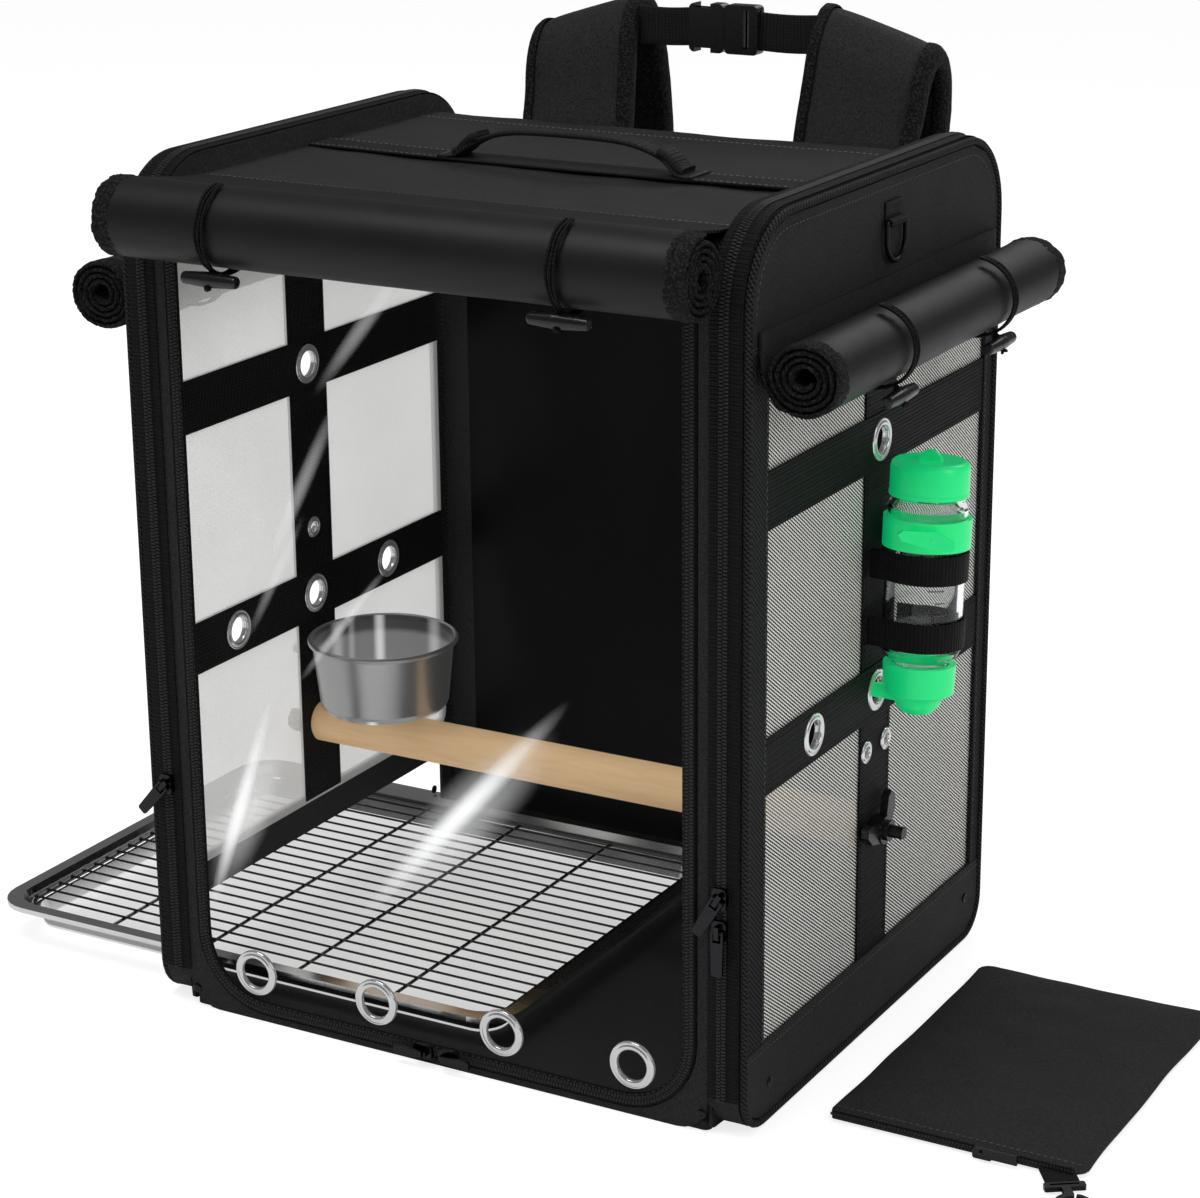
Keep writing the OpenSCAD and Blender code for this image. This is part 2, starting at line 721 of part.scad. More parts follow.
module bottle() color(clear) on_bottle() rotate_extrude() polygon([
    [neck_r - bottle_t, foot_h - 8], [neck_r, foot_h - 8], [neck_r, foot_h + 1], [bottle_r - 2, foot_h + 5],
    [bottle_r, foot_h + 9], [bottle_r, cap_z - 5], [bottle_r - 2, cap_z - 1], [neck_r + 2, cap_z],
    [neck_r + 2, cap_z + 12], [neck_r + 2 - bottle_t, cap_z + 12], [neck_r + 2 - bottle_t, cap_z - 2],
    [bottle_r - bottle_t, cap_z - 7], [bottle_r - bottle_t, foot_h + 10], [neck_r - bottle_t, foot_h + 3]]);

// Screw cap with a grip fin on top
module bottle_cap() color(green) on_bottle() union() {
    cap_h = bottle_l - cap_z - 6;
    difference() {
        translate([0, 0, cap_z + rest_gap]) rotate_extrude() polygon([
            [0, 0], [bottle_r, 0], [bottle_r, cap_h - 5], [bottle_r - 1.5, cap_h - 1.5],
            [bottle_r - 5, cap_h], [0, cap_h]]);
        translate([0, 0, cap_z - 1]) cylinder(h = 14, r = neck_r + 2 + turn_gap);
        for (a = [0:15:345]) rotate([0, 0, a]) translate([bottle_r + 0.6, 0, cap_z]) cylinder(h = cap_h - 4, r = 1.4);
    }
    translate([-8, -2, cap_z + cap_h]) rotate([90, 0, 0]) translate([0, 0, -4]) linear_extrude(4)
        polygon(concat([[0, -1]], [[16, -1]], [[14, 3]], arc(8, 3, 3.6, 0, 180, 6), [[2, 3]]));
}

// Clip ring round the bottle, with the boss that its lever turns on
module bottle_clip() color(green) on_bottle() {
    ring_r = bottle_r + turn_gap;
    difference() {
        union() {
            translate([0, 0, clip_z]) cylinder(h = clip_h, r = ring_r + clip_t);
            rotate([0, 0, lever_turn]) translate([0, 0, clip_z + clip_h / 2]) bar_x(0, ring_r + clip_t + 1.6, 6.5);
        }
        translate([0, 0, clip_z - 1]) cylinder(h = clip_h + 2, r = ring_r);
    }
    rotate([0, 0, lever_turn]) translate([0, 0, clip_z + clip_h / 2])
        bar_x(ring_r + clip_t + 1, ring_r + clip_t + 5.5, lever_pin_r);
}

module clip_lever() color(green) on_bottle() rotate([0, 0, lever_turn])
    translate([bottle_r + turn_gap + clip_t + 1.6 + rest_gap, 0, clip_z + clip_h / 2]) difference() {
        rotate([-14, 0, 0]) along_x(0, 3.4) polygon(concat(
            arc(0, 0, 6, 55, 125, 4), [[-19, 1.5], [-21, -1.5], [-18, -4.5]],
            arc(0, 0, 6, 235, 305, 4), [[12, -3], [13, 0], [12, 3]]));
        bar_x(-1, 5, lever_pin_r + turn_gap);
    }

// Foot cap whose nozzle reaches through the lower eyelet into the cabin
module bottle_spout() color(green) on_bottle() union() {
    difference() {
        rotate_extrude() polygon([[0, -9], [9, -9], [13, -5], [15, 0], [21.5, 4], [22, foot_h], [0, foot_h]]);
        translate([0, 0, foot_h - 8 - rest_gap]) cylinder(h = 20, r = neck_r + turn_gap);
    }
    bar_x(mesh_in - 14 - bottle_x, 0, spout_r);
}

// ---- perch and bowl ----

perch_l = 2 * mesh_in - 2 * rest_gap;
bolt_in = 30;
bolt_out = 20;
nut_r = 9;
nut_h = 8;

module at_perch(side) translate([side * mesh_in, post_y, perch_z]) children();

module perch() color(wood) translate([0, post_y, perch_z]) difference() {
    translate([-perch_l / 2, 0, 0]) rotate([0, 90, 0]) rotate_extrude() polygon([
        [0, 0], [perch_r - 1.5, 0], [perch_r, 1.5], [perch_r, perch_l - 1.5], [perch_r - 1.5, perch_l], [0, perch_l]]);
    for (s = [0, 1]) mirror([s, 0, 0]) bar_x(perch_l / 2 - bolt_in, perch_l, bolt_r + turn_gap);
}

module perch_bolts() color(steel) translate([0, post_y, perch_z])
    both_sides() bar_x(perch_l / 2 - bolt_in, web_out + bolt_out, bolt_r);

// Wing nut that turns on a stud lying along +X, its foot at x = 0
module wing_nut(bore) difference() {
    union() {
        bar_x(0, nut_h, nut_r);
        bar_x(nut_h, nut_h + 3, nut_r - 2.5);
        along_x(2, 5) polygon([[-6, -6], [6, -6], [18, 4], [21, 12], [18, 17], [13, 16], [6, 7],
            [-6, 7], [-13, 16], [-18, 17], [-21, 12], [-18, 4]]);
    }
    bar_x(-1, 30, bore);
}

module right_wing_nut() color("#111113")
    translate([web_out + rest_gap, post_y, perch_z]) rotate([25, 0, 0]) wing_nut(bolt_r + turn_gap);
module left_wing_nut() color("#111113") mirror([1, 0, 0])
    translate([web_out + rest_gap, post_y, perch_z]) rotate([25, 0, 0]) wing_nut(bolt_r + turn_gap);

bowl_gap = 2.4;
bowl_x = bowl_gap + bowl_r - mesh_in;
bowl_stud_z = bowl_z + 30;
bead_r = 1.8;

// Bowl: a deep pressed cup with a rolled rim, and a stud welded to its wall
module bowl() color(steel) union() {
    foot_r = bowl_r - 9;
    translate([bowl_x, post_y, bowl_z]) rotate_extrude() polygon(concat(
        [[0, 0]], arc(foot_r - 6, 8, 8, -90, -12, 5),
        [[bowl_r - bead_r - 1.2, bowl_h - 2 * bead_r]],
        arc(bowl_r - bead_r, bowl_h - bead_r, bead_r, -60, 150, 8),
        [[bowl_r - bead_r - bowl_t - 1.2, bowl_h - 2 * bead_r]],
        arc(foot_r - 6, 8, 8 - bowl_t, -12, -90, 5), [[0, bowl_t]]));
    translate([0, post_y, bowl_stud_z]) {
        bar_x(rest_gap - mesh_in, bowl_x - bowl_r + 5.5, 7);
        bar_x(-web_out - 16, rest_gap - mesh_in, stud_r);
    }
}

module bowl_nut() color("#111113") mirror([1, 0, 0])
    translate([web_out + rest_gap, post_y, bowl_stud_z]) rotate([-15, 0, 0])
    scale(0.72) wing_nut((stud_r + turn_gap) / 0.72);

// ---- tray and rack ----

tray_x = -side_out - tray_out + tray_l / 2;
tray_z = base_t + rest_gap;
rim_z = tray_z + tray_h;
ledge_drop = 8;
ledge_w = 6;
slope_w = 3;
tray_corner = 26;

// Flat slab with rounded corners, drawn in from the tray's edge, and a sloped body between two
module tray_slab(inset, z, t = 0.01) translate([tray_x, 0, z]) linear_extrude(t)
    polygon(rounded(tray_l - 2 * inset, tray_w - 2 * inset, tray_corner - inset / 2));
module tray_body(low_in, low_z, high_in, high_z) hull() {
    tray_slab(low_in, low_z);
    tray_slab(high_in, high_z);
}

rim_in = rim_w;
ledge_out = rim_in + slope_w;
ledge_in = ledge_out + ledge_w;
floor_in = ledge_in + slope_w;
ledge_z = rim_z - ledge_drop;

// Pressed tray: flat rim with a turned-down edge, a ledge for the rack and a sunk floor
module tray() color(steel) difference() {
    union() {
        tray_slab(0, rim_z - tray_t, tray_t);
        tray_slab(0, rim_z - 3.4, 3);
        tray_body(ledge_out - tray_t, ledge_z - tray_t, rim_in - tray_t, rim_z - tray_t);
        tray_body(floor_in - tray_t, tray_z, ledge_in - tray_t, ledge_z - tray_t);
    }
    difference() {
        tray_slab(tray_t, rim_z - 4, 4 - tray_t);
        tray_slab(rim_in - tray_t, rim_z - 5, 6);
    }
    tray_body(ledge_out, ledge_z, rim_in, rim_z + 0.02);
    tray_body(floor_in, tray_z + tray_t, ledge_in, ledge_z + 0.02);
}

rack_in = (ledge_out + ledge_in) / 2;
rack_l = tray_l - 2 * rack_in;
rack_w = tray_w - 2 * rack_in;
rack_r = tray_corner - rack_in / 2;
rack_z = ledge_z + frame_wire_r + 0.1;
bar_r = 1.8;
grid_z = rack_z + bar_r + grid_wire_r - 0.5;
weld = 0.6;

module rack_corner(x, y, turn) translate([tray_x + x, y, rack_z]) rotate([0, 0, turn])
    rotate_extrude(angle = 90, $fn = 40) translate([rack_r, 0]) circle(r = frame_wire_r, $fn = 16);

// Welded rack: a rounded frame, cross bars under it and grid wires along it
module wire_rack() color(steel) union() {
    x = rack_l / 2 - rack_r;
    y = rack_w / 2 - rack_r;
    rack_corner(x, y, 0);
    rack_corner(-x, y, 90);
    rack_corner(-x, -y, 180);
    rack_corner(x, -y, 270);
    for (s = [-1, 1]) {
        translate([tray_x, s * rack_w / 2, rack_z]) bar_x(-x, x, frame_wire_r);
        translate([tray_x + s * rack_l / 2, 0, rack_z]) bar_y(-y, y, frame_wire_r);
    }
    for (i = [1:bar_n]) translate([tray_x - rack_l / 2 + i * rack_l / (bar_n + 1), 0, rack_z])
        rotate([90, 0, 0]) translate([0, 0, -rack_w / 2 + weld]) cylinder(h = rack_w - 2 * weld, r = bar_r, $fn = 8);
    for (i = [1:grid_n]) translate([tray_x, -rack_w / 2 + i * rack_w / (grid_n + 1), grid_z])
        rotate([0, 90, 0]) translate([0, 0, -rack_l / 2 + weld]) cylinder(h = rack_l - 2 * weld, r = grid_wire_r, $fn = 6);
}

// ---- door ----

door_y = -half_d - 0.5;
sheet_y = door_y + (trim_t - sheet_t) / 2;
coil_mid = door_trim / 2;

module door_binding() color(black_web) union() {
    along_y(door_y, trim_t) difference() {
        polygon(door_outline(0));
        polygon(door_outline(door_trim));
        translate([door_trim - door_w / 2, door_top - 2]) square([door_w - 2 * door_trim, 4]);
    }
    along_y(door_y - 1, 1.2) intersection() {
        difference() {
            polygon(door_outline(coil_mid - 2));
            polygon(door_outline(coil_mid + 2));
        }
        translate([-door_w, 0]) square([2 * door_w, door_top - 8]);
    }
}

module sheet_2d() polygon(door_outline(door_trim));

module door_window() color(clear) along_y(sheet_y, sheet_t) difference() {
    sheet_2d();
    for (x = door_eye_x) translate([x, eyelet_z]) circle(r = door_eye_bore + eye_clear);
}

door_eye_x = [for (i = [-1, -1/3, 1/3, 1]) i * (door_w / 2 - eyelet_in)];

module door_eyelets() color(steel) for (x = door_eye_x)
    translate([x, sheet_y + sheet_t, eyelet_z]) rotate([90, 0, 0]) eyelet(door_eye_r, door_eye_bore, sheet_t);

// ---- zip sliders ----

slider_w = 9;
slider_l = 13;
slider_t = 2.4;
bridge_h = 3.4;
bridge_bore = 1.3;
pull_w = 8;
pull_l = 27;
pull_t = 1.6;
pull_pin_r = bridge_bore - turn_gap - 0.1;

// Slider body: a plate over the coil with a side lip each way and a bridge in front.
// Built at its middle, its run along Z, its front towards -Y, y = 0 on the coil's face.
module slider_body(lip) difference() {
    union() {
        along_y(-rest_gap - slider_t, slider_t) polygon(rounded(slider_w, slider_l, 2.5));
        for (s = [-1, 1]) translate([s * (slider_w / 2 - 0.6) - 0.6, -rest_gap - 0.5, -slider_l / 2 + 2])
            cube([1.2, lip + 0.5, slider_l - 4]);
        translate([-1.5, -rest_gap - slider_t - bridge_h, -4]) cube([3, bridge_h + 0.2, 8]);
    }
    translate([-3, bridge_y, 0]) bar_x(0, 6, bridge_bore);
}

bridge_y = -rest_gap - slider_t - bridge_h / 2 + 0.1;

// Pull: a pin through the bridge, two arms and a flat grip hanging below
module pull() translate([0, bridge_y, 0]) union() {
    bar_x(-pull_w / 2, pull_w / 2, pull_pin_r);
    for (s = [-1, 1]) translate([s * (pull_w / 2 - 0.7) - 0.7, -pull_t / 2, -8]) cube([1.4, pull_t, 8.6]);
    along_y(-pull_t / 2, pull_t) polygon([[-pull_w / 2, -6], [pull_w / 2, -6],
        [pull_w / 2 - 0.6, -pull_l + 1], [pull_w / 2 - 1.6, -pull_l], [1.6 - pull_w / 2, -pull_l], [0.6 - pull_w / 2, -pull_l + 1]]);
}

upper_slider_z = 152;
lower_slider_z = 132;
left_slider_z = 150;
upper_pull_turn = 30;
left_pull_turn = 42;
coil_face_y = -half_d - coil_t;

module at_side_zip(z) translate([side_zip_x, coil_face_y, z]) children();

module right_upper_slider() color("#2c2c30") at_side_zip(upper_slider_z) slider_turned(upper_pull_turn);
module right_upper_pull() color("#2c2c30") at_side_zip(upper_slider_z) rotate([0, upper_pull_turn, 0]) pull();
module right_lower_slider() color("#2c2c30") at_side_zip(lower_slider_z) slider_turned(0);
module right_lower_pull() color("#2c2c30") at_side_zip(lower_slider_z) pull();
module left_slider() color("#2c2c30") mirror([1, 0, 0]) at_side_zip(left_slider_z) slider_turned(-left_pull_turn);
module left_pull() color("#2c2c30") mirror([1, 0, 0]) at_side_zip(left_slider_z) rotate([0, -left_pull_turn, 0]) pull();

// A slider whose round bridge is turned the way its pull lies
module slider_turned(turn) union() {
    difference() {
        slider_body(coil_t - tape_t - rest_gap);
        translate([-slider_w, -20 - rest_gap - slider_t, -slider_l]) cube([2 * slider_w, 20, 2 * slider_l]);
    }
    rotate([0, turn, 0]) difference() {
        translate([-1.5, -rest_gap - slider_t - bridge_h, -4]) cube([3, bridge_h + 0.2, 8]);
        translate([-3, bridge_y, 0]) bar_x(0, 6, bridge_bore);
    }
}

// The door's two sliders meet at the middle of its lower edge, each with its short pull
door_slider_x = 9;
door_coil_z = door_low + coil_mid;
module door_slider() translate([door_slider_x, door_y - 1, door_coil_z]) rotate([0, -90, 0]) union() {
    slider_body(0.6);
    along_y(bridge_y - bridge_h / 2 - pull_t, pull_t + 0.4) polygon([[-2, 2], [2, 2], [3, -16], [2, -18], [-2, -18], [-3, -16]]);
}
module door_right_slider() color("#2c2c30") door_slider();
module door_left_slider() color("#2c2c30") mirror([1, 0, 0]) door_slider();

// ---- pouch ----

pouch_x = side_out + pouch_gap + pouch_w / 2;
pouch_y = -5;
pouch_corner = 8;
zip_in = 12;
pouch_front = pouch_y - pouch_l / 2;

// Pouch: a flat bag that swells a little, with a zip along its front edge and a hook loop
module pouch() color(black_cloth) union() {
    hull() {
        translate([pouch_x, pouch_y, pouch_t * 0.3]) linear_extrude(pouch_t * 0.2)
            polygon(rounded(pouch_w, pouch_l, pouch_corner, 0, 0, 4));
        translate([pouch_x, pouch_y, 0]) linear_extrude(pouch_t)
            polygon(rounded(pouch_w - 26, pouch_l - 30, 24, 0, 4, 4));
        translate([pouch_x, pouch_y, 0]) linear_extrude(1)
            polygon(rounded(pouch_w - 6, pouch_l - 6, pouch_corner, 0, 0, 4));
    }
    at_loop() translate([-loop_w / 2, -loop_l, 1.4]) cube([loop_w, loop_l + 12, 2.6]);
}

// The pouch's zip stands on its front edge, and its hook loop points out of the corner
loop_x = pouch_x + pouch_w / 2 - 16;
loop_w = 20;
loop_l = 12;
loop_turn = 35;
module at_loop() translate([loop_x, pouch_front - 2, 0]) rotate([0, 0, loop_turn]) children();
pouch_zip_z = pouch_t * 0.4;
pouch_slider_x = pouch_x + pouch_w / 2 - 62;

module pouch_slider() color("#2c2c30") translate([pouch_slider_x, pouch_front - rest_gap, pouch_zip_z]) union() {
    along_y(-3.2, 3.2) polygon(rounded(12, 6.4, 1.5));
    translate([-1.5, -5.4, -1.8]) cube([3, 3, 3.6]);
    translate([1, -5.2, -1]) cube([21, 1.8, 6]);
}

// Swivel snap hook, lying on the floor at the end of the pouch's loop
hook_t = 3;
hook_z = 1.2;

module hook_frame() at_loop() translate([0, 3 - loop_l - rest_gap, hook_z]) children();

// Points on the hook's ring, whose bow is open on one side for the gate
bow_y = -27;
bow_r = 9.3;
gate_from = 66;
gate_to = -10;
function bow(from, to, n) = arc(0, bow_y, bow_r, from, to, n);

module pouch_hook() color("#3a3a3e") hook_frame() difference() {
    union() {
        linear_extrude(hook_t) polygon(rounded(24, 6, 1.5, 0, -6));
        translate([-2.6, bow_y + bow_r, 0]) cube([5.2, 11, hook_t]);
        linear_extrude(hook_t) polygon(ribbon(bow(gate_from + 10, gate_to + 345, 20), 3.6));
    }
    translate([-8.5, -6.4, -1]) cube([17, 1.8, hook_t + 2]);
}

module hook_gate() color("#3a3a3e") hook_frame() linear_extrude(hook_t)
    polygon(ribbon(bow(gate_from, gate_to, 6), 2.4));

base_panel();
back_panel();
top_panel();
front_frame();
left_side_panel();
right_side_panel();
side_gussets();
side_mesh();
webbing();
side_zips();
side_piping();
wall_eyelets();
front_roll();
left_roll();
right_roll();
roll_ties();
front_left_toggle();
front_right_toggle();
left_front_toggle();
left_back_toggle();
right_front_toggle();
right_back_toggle();
carry_handle();
left_shoulder_strap();
right_shoulder_strap();
strap_webbing();
strap_adjusters();
buckle_socket();
buckle_plug();
left_dring();
right_dring();
bottle_loops();
bottle();
bottle_cap();
bottle_clip();
clip_lever();
bottle_spout();
perch();
perch_bolts();
left_wing_nut();
right_wing_nut();
bowl();
bowl_nut();
tray();
wire_rack();
door_window();
door_binding();
door_eyelets();
right_upper_slider();
right_upper_pull();
right_lower_slider();
right_lower_pull();
left_slider();
left_pull();
door_left_slider();
door_right_slider();
pouch();
pouch_slider();
pouch_hook();
hook_gate();
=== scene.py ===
"""Dresses the bird travel carrier: cloth, zips, webbing, clear sheet, metal and stage.

Laid out as an add-on and run as a script. Lengths are millimetres unless a name says otherwise.
"""
import math
from functools import partial

import bpy
from bpy.props import FloatProperty, FloatVectorProperty, PointerProperty
from mathutils import Matrix, Vector, geometry, noise


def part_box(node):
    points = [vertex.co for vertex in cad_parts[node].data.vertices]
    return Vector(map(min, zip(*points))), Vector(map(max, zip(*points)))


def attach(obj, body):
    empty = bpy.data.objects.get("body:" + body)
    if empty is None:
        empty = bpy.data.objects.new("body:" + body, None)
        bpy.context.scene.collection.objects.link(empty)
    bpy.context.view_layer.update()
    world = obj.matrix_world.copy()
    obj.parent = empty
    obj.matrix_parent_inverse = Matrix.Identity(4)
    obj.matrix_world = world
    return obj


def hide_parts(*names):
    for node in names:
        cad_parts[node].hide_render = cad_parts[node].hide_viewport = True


bl_info = {
    "name": "Bird travel carrier",
    "version": (1, 0, 0),
    "blender": (4, 5, 0),
    "location": "View3D > Sidebar > Carrier",
    "description": "Cloth, zips, webbing, clear sheet and metal for a soft-sided bird travel carrier",
    "category": "Object",
}

MM = 0.001
X, Y, Z = Vector((1, 0, 0)), Vector((0, 1, 0)), Vector((0, 0, 1))

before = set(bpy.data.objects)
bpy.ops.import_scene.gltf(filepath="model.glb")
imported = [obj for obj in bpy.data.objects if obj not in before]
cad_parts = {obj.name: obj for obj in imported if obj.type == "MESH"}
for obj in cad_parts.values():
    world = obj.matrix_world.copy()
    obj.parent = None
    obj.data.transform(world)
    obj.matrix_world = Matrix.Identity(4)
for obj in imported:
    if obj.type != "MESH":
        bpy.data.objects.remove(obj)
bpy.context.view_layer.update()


def corners(node):
    """Lowest and highest corner of a node of the frame, in millimetres."""
    low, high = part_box(node)
    return low / MM, high / MM


# ---- planes and sizes of the cabin: from the frame where it has them, or else measured in the CAD ----

SIDES = ((1, "right"), (-1, "left"))
panel_low, panel_high = corners("right_side_panel")
SIDE_IN, SIDE_OUT = panel_low.x, panel_high.x
gusset_high = corners("side_gussets")[1]
HALF_D, BODY_H = gusset_high.y, gusset_high.z
top_low, top_high = corners("top_panel")
MIDDLE_X, TOP_Z, FRAME_TOP = top_high.x, top_high.z, top_low.z
TOP_R = BODY_H - FRAME_TOP
MIDDLE_R = TOP_Z - FRAME_TOP
LOW_R, EDGE_R = 26, 5
WALL_T, CLOTH_T = 2.5, 2.4
PLATE_INSET = 5
MESH_IN = corners("side_mesh")[1].x - 1.2
WEB_T = 1.8
WINDOW_Y, WINDOW_LOW, WINDOW_HIGH, LEFT_LOW = 158, 50, 467, 82
# The border cloth in front of a window reaches further in than the CAD's opening
FRONT_EDGE = 147
SLOT_W, SLOT_TOP, BASE_T = 316, 56, 6
TRAY_FLOOR = 8.2
POST_Y, POST_W, BAND_W, UPPER_Z, LOWER_Z = 5, 42, 34, 379, 222
ZIP_INSET = 10.5
STRIP_HANG = 0.75

# Eyelets as (y, z) on the walls and x on the door
BIG_EYES = [(5, 379), (-83, 222), (5, 222), (93, 222)]
PAIR_EYES = [(-9, 186), (19, 186)]
SINGLE_EYE = [(5, 268)]
BIG_BORE, SMALL_BORE = 9.2, 4.4
BIG_FLANGE, SMALL_FLANGE = 12.6, 6.7
DOOR_EYES, DOOR_EYE_Z, DOOR_EYE_R, DOOR_EYE_BORE = (-135, -45, 45, 135), 32, 15, 10

DOOR_W, DOOR_TOP, DOOR_LOW, DOOR_R, DOOR_TRIM = 356, 484, 4.6, 50, 9

# Rolled curtains: cloth wound between the core and ROLL_OUT, and the room that the ties take
ROLL_R, ROLL_T, ROLL_PITCH, ROLL_CORE = 25, 3.2, 4.0, 5.5
ROLL_OUT = ROLL_R - ROLL_T / 2
ROLL_END = 12
TIE_ROOM = 2.2
SIDE_ROLL_X, SIDE_ROLL_Z = SIDE_OUT + TIE_ROOM + ROLL_R, 455
FRONT_ROLL_Z = 512
FRONT_ROLL_Y = MIDDLE_R - HALF_D - math.sqrt((MIDDLE_R + TIE_ROOM + ROLL_R) ** 2 - (FRONT_ROLL_Z - FRAME_TOP) ** 2)
FRONT_TIE_X, SIDE_TIE_Y = 115, 72
TOGGLE_DROP, TOGGLE_SEAT = 58, 31.8
SQUASH = 0.9

# Shoulder straps: the path is (y, z) from the back wall over the crest and down
STRAP_X, STRAP_W, STRAP_T = 101, 82, 14
STRAP_PATH = [(182.6, 470), (182.6, 490), (184.6, 515), (192, 545), (199, 574), (212, 590), (227, 584), (236, 560),
              (240, 510), (240, 440), (236, 370), (226, 300), (212, 250)]
TAIL_PATH = [(208.3, 243), (203, 226), (192, 170), (182, 110), (HALF_D + 1.4, 78), (HALF_D + 1.4, 40)]
WEBBING_W = 25

BOTTLE_X, BOTTLE_R, BOTTLE_LEAN = 233.58, 24, math.radians(-4.5)
BOWL_R, BOWL_LEAN = 50, 0.1042
POUCH_W, POUCH_L, POUCH_X, POUCH_Y = 164, 240, 318, -5


# ---- settings that a user would change ----

def number(name, text, default, low, high, subtype="NONE"):
    """A number setting, in the unit that its subtype has in Blender."""
    return FloatProperty(name=name, description=text, default=default, min=low, max=high, subtype=subtype)


def distance(name, text, default, low, high):
    """A length setting, written here in millimetres."""
    return number(name, text, default * MM, low * MM, high * MM, "DISTANCE")


def angle(name, text, default):
    """An angle setting, written here in degrees."""
    return number(name, text, math.radians(default), -math.pi, math.pi, "ANGLE")


def colour(name, text, value):
    """A colour setting, as linear red, green and blue."""
    return FloatVectorProperty(name=name, description=text, subtype="COLOR", size=3, min=0, max=1, default=value)


class CarrierSizes(bpy.types.PropertyGroup):
    """Sizes of the sewn and woven detail"""
    stitch: distance("Stitch pitch", "Distance from one stitch to the next", 4.2, 2, 8)
    tooth: distance("Zip pitch", "Distance from one zip tooth to the next", 2.15, 1, 4)
    wrinkle: distance("Wrinkle depth", "Depth of the creases in the cloth", 1.0, 0, 3)
    weave: distance("Weave pitch", "Distance from one thread to the next", 0.9, 0.3, 3)
    mesh_pitch: distance("Mesh pitch", "Distance from one row of mesh holes to the next", 2.3, 1, 6)


class CarrierColours(bpy.types.PropertyGroup):
    """Colours of the materials"""
    cloth: colour("Cloth", "Woven cloth of the cabin", (0.0150, 0.0150, 0.0156))
    curtain: colour("Curtain", "Coated cloth of the curtains", (0.0075, 0.0075, 0.008))
    webbing: colour("Webbing", "Webbing and elastic", (0.0042, 0.0042, 0.0045))
    mesh: colour("Mesh", "Threads of the window mesh", (0.84, 0.83, 0.79))
    green: colour("Green", "Caps and clip of the bottle", (0.004, 0.80, 0.19))
    wood: colour("Wood", "Perch", (0.86, 0.60, 0.36))
    steel: colour("Steel", "Eyelets", (0.78, 0.78, 0.79))
    plastic: colour("Plastic", "Black moulded plastic", (0.008, 0.008, 0.009))


class CarrierStage(bpy.types.PropertyGroup):
    """Light and camera"""
    key: number("Key light", "Power of the key light", 34, 0, 200, "POWER")
    fill: number("Fill light", "Power of the fill and back lights", 15, 0, 200, "POWER")
    sky: number("Sky", "Strength of the surrounding light", 0.46, 0, 2)
    lens: number("Lens", "Focal length on a 36 mm sensor", 92.9, 20, 300, "DISTANCE_CAMERA")
    azimuth: angle("Azimuth", "Camera's bearing", 29.57)
    elevation: angle("Elevation", "Camera's height angle", 17.94)
    roll: angle("Roll", "Camera's roll", -0.51)


def chosen(name):
    """A size that the user chose, in millimetres."""
    return getattr(bpy.context.scene.carrier_sizes, name) / MM


# ---- shader maths ----

class Value:
    """A node socket on which Python's operators add Math nodes."""

    def __init__(self, tree, socket):
        self.tree, self.socket = tree, socket

    def math(self, operation, *others):
        node = self.tree.nodes.new("ShaderNodeMath")
        node.operation = operation
        for slot, item in zip(node.inputs, (self, *others)):
            if isinstance(item, Value):
                self.tree.links.new(item.socket, slot)
            else:
                slot.default_value = item
        return Value(self.tree, node.outputs[0])

    def _from(self, value):
        node = self.tree.nodes.new("ShaderNodeValue")
        node.outputs[0].default_value = value
        return Value(self.tree, node.outputs[0])

    def __add__(self, other):
        return self.math("ADD", other)

    def __sub__(self, other):
        return self.math("SUBTRACT", other)

    def __rsub__(self, other):
        return self._from(other) - self

    def __mul__(self, other):
        return self.math("MULTIPLY", other)

    def __truediv__(self, other):
        return self.math("DIVIDE", other)

    __radd__, __rmul__ = __add__, __mul__

    def sine(self):
        return self.math("SINE")

    def over(self, level):
        return self.math("GREATER_THAN", level)

    def clamp(self):
        return self.math("MINIMUM", 1.0).math("MAXIMUM", 0.0)


